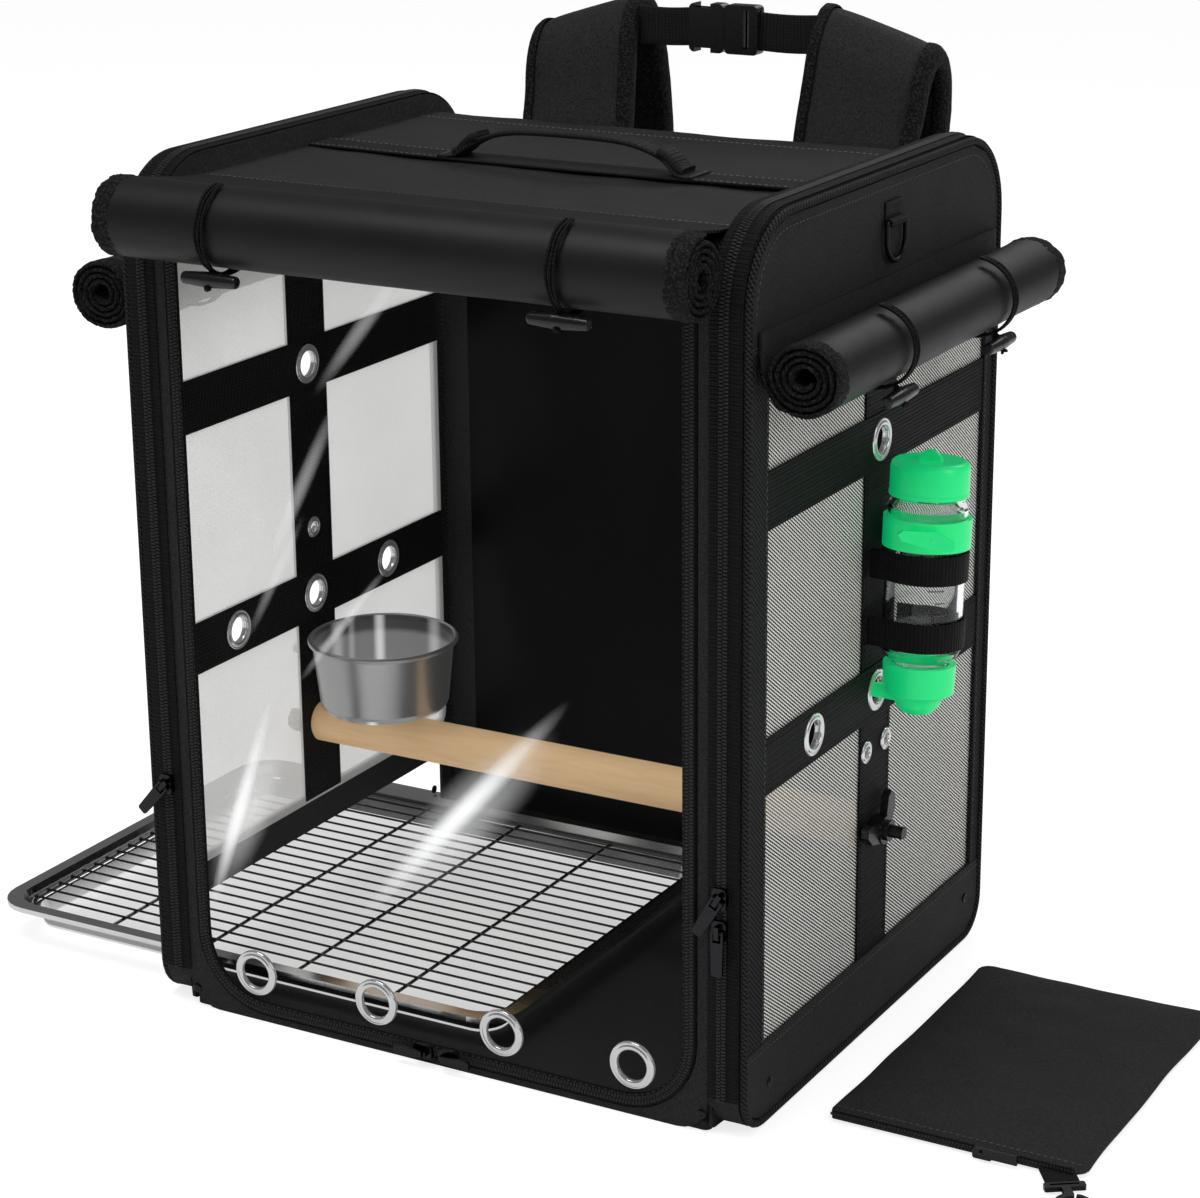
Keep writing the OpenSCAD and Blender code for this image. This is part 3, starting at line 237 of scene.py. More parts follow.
class Finish:
    """A material while it is mixed. cloth holds millimetres along the weave, place holds metres on the object."""

    def __init__(self, slot, base, roughness=0.5, **constants):
        self.material = bpy.data.materials.new(slot)
        self.material.use_nodes = True
        self.tree = self.material.node_tree
        self.shader = self.tree.nodes["Principled BSDF"]
        self.base, self.roughness = (*base, 1.0), roughness
        for name, value in {"base_color": self.base, "roughness": roughness, **constants}.items():
            self.shader.inputs[name.replace("_", " ").title().replace("Ior", "IOR")].default_value = value
        coordinates = self.add("TexCoord")
        self.cloth, self.place = self.out(coordinates, "UV"), self.out(coordinates, "Object")

    def add(self, kind, settings=None, **sockets):
        """Any other node: its type, its settings, then the values or links of its sockets."""
        node = self.tree.nodes.new("ShaderNode" + kind)
        for name, value in (settings or {}).items():
            setattr(node, name, value)
        for name, value in sockets.items():
            slot = node.inputs[name.replace("_", " ")]
            if isinstance(value, Value):
                self.tree.links.new(value.socket, slot)
            else:
                slot.default_value = value
        return node

    def out(self, node, name=0):
        return Value(self.tree, node.outputs[name])

    def axes(self, place):
        node = self.add("SeparateXYZ", Vector=place)
        return [self.out(node, i) for i in range(3)]

    def grain(self, scale, detail=2.0, stretch=None, rough=0.5):
        """Noise from 0 to 1, stretched by a scale on each axis."""
        place = self.out(self.add("Mapping", Vector=self.place, Scale=stretch)) if stretch else self.place
        return self.out(self.add("TexNoise", Vector=place, Scale=scale, Detail=detail, Roughness=rough))

    def set(self, name, value):
        self.tree.links.new(value.socket, self.shader.inputs[name])

    def shade(self, factor, other=None):
        """Base colour multiplied by a factor, or mixed towards another colour."""
        if other is None:
            node = self.add("VectorMath", {"operation": "SCALE"}, Vector=self.base[:3], Scale=factor)
            self.set("Base Color", self.out(node))
            return
        node = self.add("Mix", {"data_type": "RGBA"})
        self.tree.links.new(factor.socket, node.inputs[0])
        node.inputs[6].default_value = self.base
        node.inputs[7].default_value = (*other, 1.0)
        self.set("Base Color", self.out(node, 2))

    def bump(self, height, depth, strength=1.0):
        self.set("Normal", self.out(self.add("Bump", Height=height, Strength=strength, Distance=depth * MM)))


def glow(red, green, blue):
    """A little light of its own, for what the photo's lamps reach and these don't."""
    return {"emission_color": (red, green, blue, 1.0), "emission_strength": 1.0}


def mix_oxford(mix):
    """Plain weave with a slow mottle, flecks and a nap."""
    u, v, _ = mix.axes(mix.cloth)
    turn = math.pi / chosen("weave")
    warp, weft = (u * turn).sine(), (v * turn).sine()
    over = (warp * weft).over(0.0)
    height = over * (warp * warp) + (1 - over) * (weft * weft)
    mottle, fleck, nap = mix.grain(22.0, 4.0), mix.grain(900.0), mix.grain(420.0)
    mix.shade(height * 0.3 - 1.3 + mottle * 0.4 + fleck * 4.0 + nap * 0.8)
    mix.set("Roughness", 0.56 + mottle * 0.16 + fleck * 0.08)
    mix.bump(height + fleck * 1.4 + nap * 1.2, 0.2, 0.9)


def mix_curtain(mix):
    fine, slow = mix.grain(1500.0), mix.grain(30.0, 4.0)
    mix.shade(0.75 + slow * 0.4 + fine * 0.15)
    mix.set("Roughness", 0.40 + slow * 0.16 + fine * 0.08)
    mix.bump(fine * 0.4 + slow * 2.0, 0.12, 0.7)


def mix_binding(mix):
    """Looped, frayed binding of the curtains' ends and of the shoulder straps."""
    height = 1 - mix.out(mix.add("TexVoronoi", Vector=mix.place, Scale=520.0))
    fleck = mix.grain(900.0, 3.0)
    # Painted highlights on the loops' tops and painted shade between them, with flecks
    mix.shade(height * height * height * 9.0 + fleck * 1.6)
    mix.bump(height + fleck, 0.9)


def mix_webbing(mix):
    u, v, _ = mix.axes(mix.cloth)
    ribs = ((u + v) * (math.pi / 1.5)).sine() * ((u - v) * (math.pi / 1.5)).sine()
    ladder = (v * (2 * math.pi / 2.4)).sine()
    fleck = mix.grain(1100.0)
    mix.shade(0.7 + ribs * 0.5 + ladder * 0.25 + fleck * 0.6)
    mix.bump(ribs * 0.6 + ladder * 0.5 + fleck * 0.25, 0.3, 0.9)


def mix_twill(mix):
    """Hatched border cloth beside the windows and along the top's front edge."""
    u, v, _ = mix.axes(mix.cloth)
    hatch = ((u + v) * (math.pi / 1.7)).sine()
    steps = ((u * 0.3 - v) * (math.pi / 1.2)).sine()
    fleck = mix.grain(700.0)
    mix.shade(0.8 + hatch * 0.8 + steps * 0.45 + fleck * 0.5)
    mix.bump(hatch + steps * 0.4 + fleck * 0.4, 0.22, 0.9)


def mix_zip(mix):
    fleck = mix.grain(800.0)
    mix.shade(0.7 + fleck * 0.7)
    mix.set("Roughness", 0.35 + fleck * 0.2)


def mix_mesh(mix, share=1.0):
    """Diagonal rows of pale threads with open slots between them. A share under 1 makes the weave finer,
    as the eye takes it against the light, and lets light through it. Otherwise three quarters of each slot is opaque
    and painted near black: painted shade, for the dark inside behind the mesh."""
    against_light = share < 1
    u, v, _ = mix.axes(mix.cloth)
    turn = 2 * math.pi / (chosen("mesh_pitch") * share)
    row = ((u * 0.72 + v) * turn).sine()
    cross = ((u - v * 0.42) * (turn * 0.8)).sine()
    slow = mix.grain(16.0, 3.0)
    open_slot = (row * 0.75 + cross * 0.35 + slow * 0.3).over(0.8 if against_light else 0.2)
    thread = (row * 0.5 + 0.5) * 0.5 + (cross * 0.5 + 0.5) * 0.25
    seen = open_slot if against_light else open_slot * 0.25
    # The opaque part of each slot is painted near black: painted shade of the dark inside behind the mesh
    mix.shade(0.92 - thread * 0.25 + slow * 0.2 - (open_slot - seen) * 1.3)
    mix.set("Alpha", 1 - seen)
    mix.bump(1 - thread, 0.3, 0.7)
    through = mix.add("BsdfTranslucent", Color=(0.66, 0.66, 0.65, 1))
    gaps = mix.add("MixShader", Fac=open_slot)
    both = mix.add("MixShader", Fac=0.5 if against_light else 0.0)
    clear = mix.add("BsdfTransparent")
    for start, end in ((through, gaps.inputs[1]), (clear, gaps.inputs[2]), (mix.shader, both.inputs[1]),
                       (gaps, both.inputs[2]), (both, mix.tree.nodes["Material Output"].inputs[0])):
        mix.tree.links.new(start.outputs[0], end)


def mix_shaded_lining(mix):
    """Coated inner face of the back wall, much darker than the cloth outside: painted shade for the dark inside of the
    cabin.
    """
    slow, fine = mix.grain(9.0, 4.0), mix.grain(260.0)
    mix.set("Roughness", 0.24 + slow * 0.3)
    mix.shade(0.7 + slow * 0.7)
    mix.bump(fine * 0.2 + slow * 3.0, 0.5, 0.6)


def mix_thread(mix):
    """Sewing thread, a little paler than the cloth."""
    twist = mix.grain(1400.0)
    mix.shade(0.6 + twist * 0.8)
    mix.bump(twist, 0.1, 0.6)


def mix_tray(mix):
    """Polished rim and walls; the pressed floor is duller and glows pale: painted light for the light that reaches it
    inside the cabin, with its base colour darkened to match.
    """
    pan = 1 - mix.axes(mix.place)[2].over(TRAY_FLOOR * MM)
    marks = mix.grain(30.0, 3.0, (1, 5, 1))
    # Painted light: the floor glows pale, and its base colour is darkened below to match
    mix.set("Emission Color", pan * 0.52)
    mix.set("Metallic", 1 - pan * 0.9)
    mix.set("Roughness", 0.13 + marks * 0.08 + pan * 0.22)
    mix.shade((0.86 + marks * 0.14) * (1 - pan * 0.62))
    mix.bump(marks, 0.08, 0.4)


# Painted reflections: streaks of light inside the bowl, across the camera's view: middle, half width, strength
BOWL_PAINTED_REFLECTIONS = ((-5.6, 5, 0.42), (-33, 5, 0.16), (-24, 3, 0.12), (32, 6, 0.2))


def mix_bowl(mix):
    """Brushed outside; the polished inside is painted dark, as painted shade, and glows faintly by the rim, more below
    and in streaks of light: painted reflections. The outside glows a little too.
    """
    low, high = corners("bowl")
    x, y, z = mix.axes(mix.place)
    x, y = x - (high.x - BOWL_R) * MM, y - POST_Y * MM
    middle_of_wall = (z - (low.z + 6.34) * MM) * BOWL_LEAN + 42.225 * MM
    inside = 1 - (x * x + y * y - middle_of_wall * middle_of_wall).over(0.0)
    across = x * 0.87 + y * 0.49
    foot = 1 - ((z - (high.z - 13) * MM) / (4 * MM)).clamp()
    light = 0.012 + foot * 0.11
    for middle, half, strength in BOWL_PAINTED_REFLECTIONS:
        off = (across - middle * MM) / (half * MM)
        streak = (1 - off * off).clamp()
        light = light + streak * streak * strength
    # Painted reflections: the inside glows faintly by the rim, more below and in streaks; the outside glows a little,
    # as painted light
    mix.set("Emission Color", inside * light + (1 - inside) * 0.03)
    marks, slow = mix.grain(90.0, 3.0, (1, 1, 30)), mix.grain(35.0)
    mix.set("Roughness", 0.2 + marks * 0.12 + slow * 0.12)
    # The inside's base colour is darkened: painted shade
    mix.shade((0.9 + marks * 0.14) * (1 - inside * 0.55))
    mix.bump(marks, 0.03, 0.4)


# Painted reflections: streaks of glare on the door as (x, z): upper end, lower end, half width, half reach, strength
DOOR_PAINTED_GLARE = [
    ((-117, 212), (-165, 76), 7, 86, 0.62),
    ((-112, 196), (-160, 84), 20, 66, 0.30),
    ((78, 234), (-40, 102), 12, 88, 0.62),
    ((62, 214), (-16, 122), 32, 70, 0.34),
    ((-36, 304), (-84, 244), 5, 44, 0.30),
    ((-62, 404), (-108, 312), 7, 62, 0.24),
    ((-12, 492), (-62, 428), 8, 50, 0.26),
    ((-90, 330), (-126, 262), 5, 46, 0.16),
]


def mix_clear(mix):
    """Clear sheet: nearly all see-through, with fine rub marks and pale streaks of painted reflection (glare); where it
    isn't see-through it glows white, as painted light.
    """
    x, _, z = mix.axes(mix.place)
    haze, rub = mix.grain(14.0, 3.0), mix.grain(60.0, 4.0, (1, 1, 0.12))
    alpha = 0.0004 + haze * 0.001 + rub * 0.002
    # Painted reflections: each glare streak makes the sheet less see-through there, so that it glows
    for start, foot, width, reach, strength in DOOR_PAINTED_GLARE:
        lean = (foot[0] - start[0]) / (foot[1] - start[1])
        off = ((x - start[0] * MM) - (z - start[1] * MM) * lean) / (width * MM)
        along = (z - (start[1] + foot[1]) / 2 * MM) / (reach * MM)
        streak = (1 - off * off - along * along).clamp()
        alpha = alpha + streak * streak * strength
    mix.set("Alpha", alpha.clamp())
    mix.set("Roughness", 0.05 + haze * 0.12)
    mix.bump(mix.grain(9.0), 2.0, 0.5)


def mix_metal(mix, speck=0.06):
    marks, slow = mix.grain(120.0, 3.0), mix.grain(35.0)
    mix.set("Roughness", mix.roughness - speck / 2 + marks * speck + slow * speck)
    mix.shade(0.9 + marks * 0.14)
    mix.bump(marks, 0.02, 0.4)


def mix_plastic(mix):
    skin, slow = mix.grain(260.0, 3.0), mix.grain(18.0)
    mix.shade(0.92 + slow * 0.16)
    mix.set("Roughness", mix.roughness - 0.05 + skin * 0.1 + slow * 0.06)
    mix.bump(skin, 0.012, 0.4)


def mix_clear_plastic(mix):
    skin = mix.grain(40.0)
    mix.set("Roughness", 0.02 + skin * 0.05)
    mix.bump(skin, 0.3, 0.3)


def mix_wood(mix):
    figure = mix.grain(30.0, 4.0, (0.25, 2.2, 2.2), 0.6)
    pores = mix.grain(260.0, 3.0, (0.08, 1.6, 1.6))
    streak = (figure * 26.0).sine() * 0.5 + 0.5
    mix.shade((streak * 0.26 + pores * 0.3).clamp(), (0.62, 0.37, 0.19))
    mix.set("Roughness", 0.5 + pores * 0.2)
    mix.bump(pores + streak * 0.3, 0.12, 0.6)


def looks(tints):
    """Every look: its slot, base colour, roughness, how it is mixed and its constant sockets."""
    steel, dull = {"metallic": 1.0}, {"specular_ior_level": 0.2}
    lit_steel = {"metallic": 1.0, "emission_strength": 1.0}
    return {
        "black_fabric": ("black_fabric", tints.cloth, 0.66, mix_oxford, dull),
        # The back wall's inner face: a much darker copy of the cloth, as painted shade
        "lining": ("black_fabric", (0.0010, 0.0010, 0.0011), 0.34, mix_shaded_lining, {"specular_ior_level": 0.1}),
        "curtain_fabric": ("curtain_fabric", tints.curtain, 0.46, mix_curtain, {"specular_ior_level": 0.32}),
        "strap_padding": ("strap_padding", tints.webbing, 0.8, mix_binding, dull),
        "black_webbing": ("black_webbing", tints.webbing, 0.62, mix_webbing, {"specular_ior_level": 0.16}),
        # A lighter copy of the webbing, as painted light: for the webbing of the top, the handle and the straps, which
        # lies in the light
        "lit_webbing": ("black_webbing", [part * 2.8 for part in tints.webbing], 0.62, mix_webbing,
                   {"specular_ior_level": 0.16}),
        "thread": ("black_webbing", (0.075, 0.075, 0.078), 0.5, mix_thread, {}),
        "piping": ("piping", tints.cloth, 0.62, mix_twill, {"specular_ior_level": 0.1}),
        "zip": ("zip", (0.028, 0.028, 0.029), 0.4, mix_zip, {"specular_ior_level": 0.12}),
        "mesh": ("mesh", tints.mesh, 0.6, mix_mesh, {"specular_ior_level": 0.3}),
        "fine_mesh": ("mesh", tints.mesh, 0.6, partial(mix_mesh, share=0.45),
                      {"specular_ior_level": 0.3, **glow(0.23, 0.23, 0.225)}),
        # The clear sheet glows white where it isn't see-through: painted light and painted reflection
        "clear_sheet": ("clear_sheet", (0.95, 0.96, 0.97), 0.08, mix_clear,
                        {"specular_ior_level": 0.5, "emission_color": (1, 1, 1, 1), "emission_strength": 0.42}),
        "eyelet_steel": ("eyelet_steel", tints.steel, 0.14, mix_metal, {"metallic": 0.9, **glow(0.045, 0.045, 0.045)}),
        "tray": ("polished_steel", (0.86, 0.86, 0.86), 0.17, mix_tray, lit_steel),
        "rack": ("polished_steel", (0.09, 0.09, 0.092), 0.2, partial(mix_metal, speck=0.08), steel),
        "brushed_steel": ("brushed_steel", (0.46, 0.46, 0.47), 0.26, mix_bowl, lit_steel),
        "bolt_steel": ("bolt_steel", (0.05, 0.05, 0.053), 0.3, partial(mix_metal, speck=0.1), steel),
        "zip_metal": ("zip_metal", (0.035, 0.035, 0.038), 0.22, partial(mix_metal, speck=0.1), steel),
        "dark_metal": ("dark_metal", (0.016, 0.016, 0.018), 0.3, partial(mix_metal, speck=0.12), {"metallic": 0.8}),
        "black_plastic": ("black_plastic", tints.plastic, 0.24, mix_plastic, {}),
        "green_plastic": ("green_plastic", tints.green, 0.3, mix_plastic, glow(0.003, 0.2, 0.08)),
        "clear_plastic": ("clear_plastic", (0.96, 0.98, 0.98), 0.04, mix_clear_plastic,
                          {"transmission_weight": 1.0, "ior": 1.3}),
        "wood": ("wood", tints.wood, 0.55, mix_wood, {"specular_ior_level": 0.4, **glow(0.15, 0.10, 0.045)}),
    }


FINISHES = {}


def finish(look):
    """The material of a look, mixed once."""
    if look not in FINISHES:
        slot, base, roughness, mixer, constants = looks(bpy.context.scene.carrier_colours)[look]
        mix = Finish(slot, base, roughness, **constants)
        mixer(mix)
        FINISHES[look] = mix.material
    return FINISHES[look]


# ---- outlines and paths ----

def arc(a, b, radius, start, end, steps=10):
    """Points on an arc about (a, b), by degrees."""
    turns = [math.radians(start + (end - start) * i / steps) for i in range(steps + 1)]
    return [(a + radius * math.cos(t), b + radius * math.sin(t)) for t in turns]


def upright_loop(low_r, top_r, top, inset, steps):
    """Outline in (y, z) of a section of the cabin, with its own corners and top, drawn in by a margin."""
    return (arc(HALF_D - low_r, low_r, low_r - inset, -90, 0, steps)
            + arc(HALF_D - top_r, top - top_r, top_r - inset, 0, 90)
            + arc(top_r - HALF_D, top - top_r, top_r - inset, 90, 180)
            + arc(low_r - HALF_D, low_r, low_r - inset, 180, 270, steps))


def side_loop(inset=0.0):
    """Outline of a side panel."""
    return upright_loop(LOW_R, TOP_R, BODY_H, inset, 10)


def middle_loop(inset=0.0):
    """Outline of the middle section."""
    return upright_loop(EDGE_R, MIDDLE_R, TOP_Z, inset, 4)


def rounded(w, h, radius, a=0.0, b=0.0, steps=6):
    """Rounded rectangle about (a, b)."""
    return (arc(a + w / 2 - radius, b - h / 2 + radius, radius, -90, 0, steps)
            + arc(a + w / 2 - radius, b + h / 2 - radius, radius, 0, 90, steps)
            + arc(a - w / 2 + radius, b + h / 2 - radius, radius, 90, 180, steps)
            + arc(a - w / 2 + radius, b - h / 2 + radius, radius, 180, 270, steps))


def fill(rings):
    """The points of an outline and its holes in one list, and the triangles between them."""
    flat = [[Vector((a, b, 0)) for a, b in ring] for ring in rings]
    return [p for ring in rings for p in ring], geometry.tessellate_polygon(flat)


def at_x(points, x):
    return [Vector((x, a, b)) for a, b in points]


def at_y(points, y):
    return [Vector((a, y, b)) for a, b in points]


def mirrored(side):
    """Places (x, y, z) on the right for 1 and on the left for -1."""
    return lambda a, b, c: Vector((side * c, a, b))


def smooth(points, steps=6):
    """Catmull-Rom path through given points."""
    path = []
    last = len(points) - 1
    for i in range(last):
        a, b, c, d = (points[k] for k in (max(i - 1, 0), i, i + 1, min(i + 2, last)))
        for s in range(steps):
            t = s / steps
            path.append((2 * b + (c - a) * t + (2 * a - 5 * b + 4 * c - d) * t * t
                         + (3 * b - a - 3 * c + d) * t ** 3) / 2)
    return path + [points[-1]]


def resample(points, step, closed=False):
    """Even steps along a path."""
    knots = list(points) + ([points[0]] if closed else [])
    lengths = [0.0]
    for a, b in zip(knots, knots[1:]):
        lengths.append(lengths[-1] + (b - a).length)
    count = max(2, round(lengths[-1] / step))
    found, k = [], 0
    for i in range(count + (0 if closed else 1)):
        want = lengths[-1] * i / count
        while k < len(knots) - 2 and lengths[k + 1] < want:
            k += 1
        span = lengths[k + 1] - lengths[k]
        found.append(knots[k].lerp(knots[k + 1], (want - lengths[k]) / span if span else 0.0))
    return found


def tangents(path, closed=False):
    """The way along a path at each of its points."""
    last = len(path) - 1
    ways = []
    for i in range(len(path)):
        a = path[(i - 1) if (closed or i) else 0]
        b = path[(i + 1) % len(path)] if closed else path[min(i + 1, last)]
        ways.append((b - a).normalized())
    return ways


def normals(path):
    """Each point of a flat path, with the unit way across the path there."""
    last = len(path) - 1
    for i, (a, b) in enumerate(path):
        (a0, b0), (a1, b1) = path[max(i - 1, 0)], path[min(i + 1, last)]
        size = math.hypot(a1 - a0, b1 - b0)
        yield a, b, -(b1 - b0) / size, (a1 - a0) / size


def side_and_up(way, across, facing):
    """Side and up of what travels along a path, from the way that its side or its face keeps to."""
    if across is not None:
        side = (across - way * across.dot(way)).normalized()
        return side, way.cross(side)
    side = way.cross(facing).normalized()
    return side, side.cross(way)


def crease(p, size, depth):
    """Slow uneven shift of cloth at a point, up to about the depth."""
    return depth * noise.noise(p / size)


def signed_power(value, power):
    return math.copysign(abs(value) ** power, value)


def share_between(value, low, high):
    """0 below the low value, 1 above the high one, and even between."""
    return max(0.0, min(1.0, (value - low) / (high - low)))


# ---- meshes ----

class Piece:
    """Points in millimetres, faces and cloth coordinates that become one object."""

    def __init__(self):
        self.points, self.faces, self.marks = [], [], []

    def face(self, indices, marks=None):
        self.faces.append(tuple(indices))
        self.marks.append(marks or [(self.points[i].x + self.points[i].y, self.points[i].z) for i in indices])

    def grid(self, rows, round_rows=False, round_columns=False, flip=False):
        """A sheet of four-sided faces over rows of points. Returns the index of its first point."""
        first, wide = len(self.points), len(rows[0])
        u, v = [0.0], [0.0]
        row = rows[len(rows) // 2]
        for j in range(wide):
            u.append(u[-1] + (row[(j + 1) % wide] - row[j]).length)
        for i in range(len(rows)):
            v.append(v[-1] + (rows[(i + 1) % len(rows)][wide // 2] - rows[i][wide // 2]).length)
        for r in rows:
            self.points += r
        for i in range(len(rows) - (not round_rows)):
            for j in range(wide - (not round_columns)):
                i2, j2 = (i + 1) % len(rows), (j + 1) % wide
                ring = [(i, j), (i, j2), (i2, j2), (i2, j)]
                marks = [(u[j], v[i]), (u[j + 1], v[i]), (u[j + 1], v[i + 1]), (u[j], v[i + 1])]
                if flip:
                    ring.reverse()
                    marks.reverse()
                self.face([first + a * wide + b for a, b in ring], marks)
        return first

    def slab(self, rows, thickness, round_rows=False):
        """A closed sheet, its outer face on the rows and its inner face behind."""
        wide, tall = len(rows[0]), len(rows)
        inner = []
        for i, row in enumerate(rows):
            above = rows[(i + 1) % tall] if round_rows else rows[min(i + 1, tall - 1)]
            below = rows[i - 1] if round_rows else rows[max(i - 1, 0)]
            line = []
            for j, p in enumerate(row):
                along = row[min(j + 1, wide - 1)] - row[max(j - 1, 0)]
                line.append(p - along.cross(above[j] - below[j]).normalized() * thickness)
            inner.append(line)
        a = self.grid(rows, round_rows)
        b = self.grid(inner, round_rows, flip=True)
        for i in range(tall - (not round_rows)):
            i2 = (i + 1) % tall
            for j, turned in ((0, False), (wide - 1, True)):
                self.turn([a + i * wide + j, a + i2 * wide + j, b + i2 * wide + j, b + i * wide + j], turned)
        if not round_rows:
            for j in range(wide - 1):
                for i, turned in ((0, True), (tall - 1, False)):
                    k = i * wide + j
                    self.turn([a + k, a + k + 1, b + k + 1, b + k], turned)

    def turn(self, ring, turned):
        """A face, which looks the other way where it is turned."""
        self.face(ring[::-1] if turned else ring)

    def cap(self, first, rows):
        """Closes the two ends of a tube of rows."""
        wide = len(rows[0])
        last = first + (len(rows) - 1) * wide
        self.face([first + j for j in reversed(range(wide))])
        self.face([last + j for j in range(wide)])

    def sweep(self, path, section, across=None, facing=None, closed=False):
        """Carries a section along a path. The section is points (side, up), or a function of the share of the way."""
        rows = []
        for i, (p, t) in enumerate(zip(path, tangents(path, closed))):
            side, up = side_and_up(t, across, facing)
            ring = section(i / max(len(path) - 1, 1)) if callable(section) else section
            rows.append([p + side * s + up * h for s, h in ring])
        first = self.grid(rows, round_rows=closed, round_columns=True)
        if not closed:
            self.cap(first, rows)

    def plate(self, rings, lift, low, high):
        """A flat plate between two planes, from an outer outline and its holes. lift(a, b, c) places a point."""
        joined, triangles = fill(rings)
        count, first = len(joined), len(self.points)
        for c in (low, high):
            self.points += [lift(a, b, c) for a, b in joined]
        for tri in triangles:
            marks = [joined[i] for i in tri]
            self.face([first + i for i in tri], marks)
            self.face([first + count + i for i in reversed(tri)], marks[::-1])
        for ring in rings:
            for i in range(len(ring)):
                a, b = first + i, first + (i + 1) % len(ring)
                self.face([a, b, count + b, count + a])
            first += len(ring)

    def stitches(self, path, facing, pitch=None, length=3.0, width=0.8, height=0.42):
        """A row of small raised stitches along a path. facing is the way out of the cloth."""
        even = resample(path, pitch or chosen("stitch"))
        for p, t in zip(even, tangents(even)):
            out = facing(p) if callable(facing) else facing
            side = t.cross(out).normalized()
            first = len(self.points)
            self.points += [p - t * length / 2, p + t * length / 2, p + side * width / 2, p - side * width / 2,
                            p + out * height, p - out * height * 0.4]
            for a, b in ((0, 2), (2, 1), (1, 3), (3, 0)):
                self.face([first + a, first + b, first + 4])
                self.face([first + b, first + a, first + 5])

    def teeth(self, path, across=None, facing=None, reach=2.3, gap=1.15, height=1.0):
        """Two meshed rows of zip teeth along a path."""
        pitch = chosen("tooth")
        even = resample(path, pitch)
        for p, t in zip(even, tangents(even)):
            side, up = side_and_up(t, across, facing)
            for s in (-1, 1):
                centre = p + side * (s * gap) + t * (pitch / 4 * s)
                first = len(self.points)
                for h, shrink in ((0.0, 1.0), (height * 0.6, 1.0), (height, 0.45)):
                    for a, b in ((-1, -1), (1, -1), (1, 1), (-1, 1)):
                        self.points.append(centre + side * (a * reach / 2 * shrink)
                                           + t * (b * pitch * 0.36 * shrink) + up * h)
                for level in (first, first + 4):
                    for k in range(4):
                        k2 = (k + 1) % 4
                        self.face([level + k, level + k2, level + 4 + k2, level + 4 + k])
                self.face([first + 8, first + 9, first + 10, first + 11])
                self.face([first + 3, first + 2, first + 1, first])

    def lathe(self, profile, centre, axis, steps=32, closed=True):
        """Turns a profile of (radius, height) points about an axis, and closes its two ends."""
        a = axis.orthogonal().normalized()
        b = axis.cross(a)
        rows = []
        for k in range(steps):
            t = 2 * math.pi * k / steps
            rows.append([centre + axis * h + (a * math.cos(t) + b * math.sin(t)) * r for r, h in profile])
        first = self.grid(rows, round_rows=True, flip=True)
        wide = len(profile)
        for j, turned in ((0, True), (wide - 1, False)) if closed else ():
            self.turn([first + k * wide + j for k in range(steps)], turned)

    def make(self, name, slot, body="cabin", nodes=(), sharp=42.0, look=None):
        """Becomes an object that rides on a body and stands for nodes of the frame."""
        mesh = bpy.data.meshes.new(name)
        mesh.from_pydata([p * MM for p in self.points], [], self.faces)
        layer = mesh.uv_layers.new(name="cloth")
        layer.data.foreach_set("uv", [c for marks in self.marks for mark in marks for c in mark])
        mesh.polygons.foreach_set("use_smooth", [True] * len(mesh.polygons))
        mesh.set_sharp_from_angle(angle=math.radians(sharp))
        mesh.materials.append(finish(look or slot))
        made = bpy.data.objects.new(name, mesh)
        bpy.context.scene.collection.objects.link(made)
        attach(made, body)
        if nodes:
            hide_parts(*nodes)
        return made


def strap_section(width, thickness, steps=5):
    """Section of flat webbing with round edges."""
    r = thickness / 2
    half = width / 2 - r
    right = [(half + a, b) for a, b in arc(0, 0, r, -90, 90, steps)]
    top = [(half * (1 - 2 * k / 5), r) for k in range(1, 5)]
    left, low = ([(-s, -h) for s, h in part] for part in (right, top))
    return right + top + left + low


def round_section(radius, steps=10):
    return [(radius * math.cos(2 * math.pi * k / steps), radius * math.sin(2 * math.pi * k / steps))
            for k in range(steps)]


# ---- pieces ----

class PieceOperator:
    """What every operator of the carrier shares."""
    bl_options = {"REGISTER", "UNDO"}


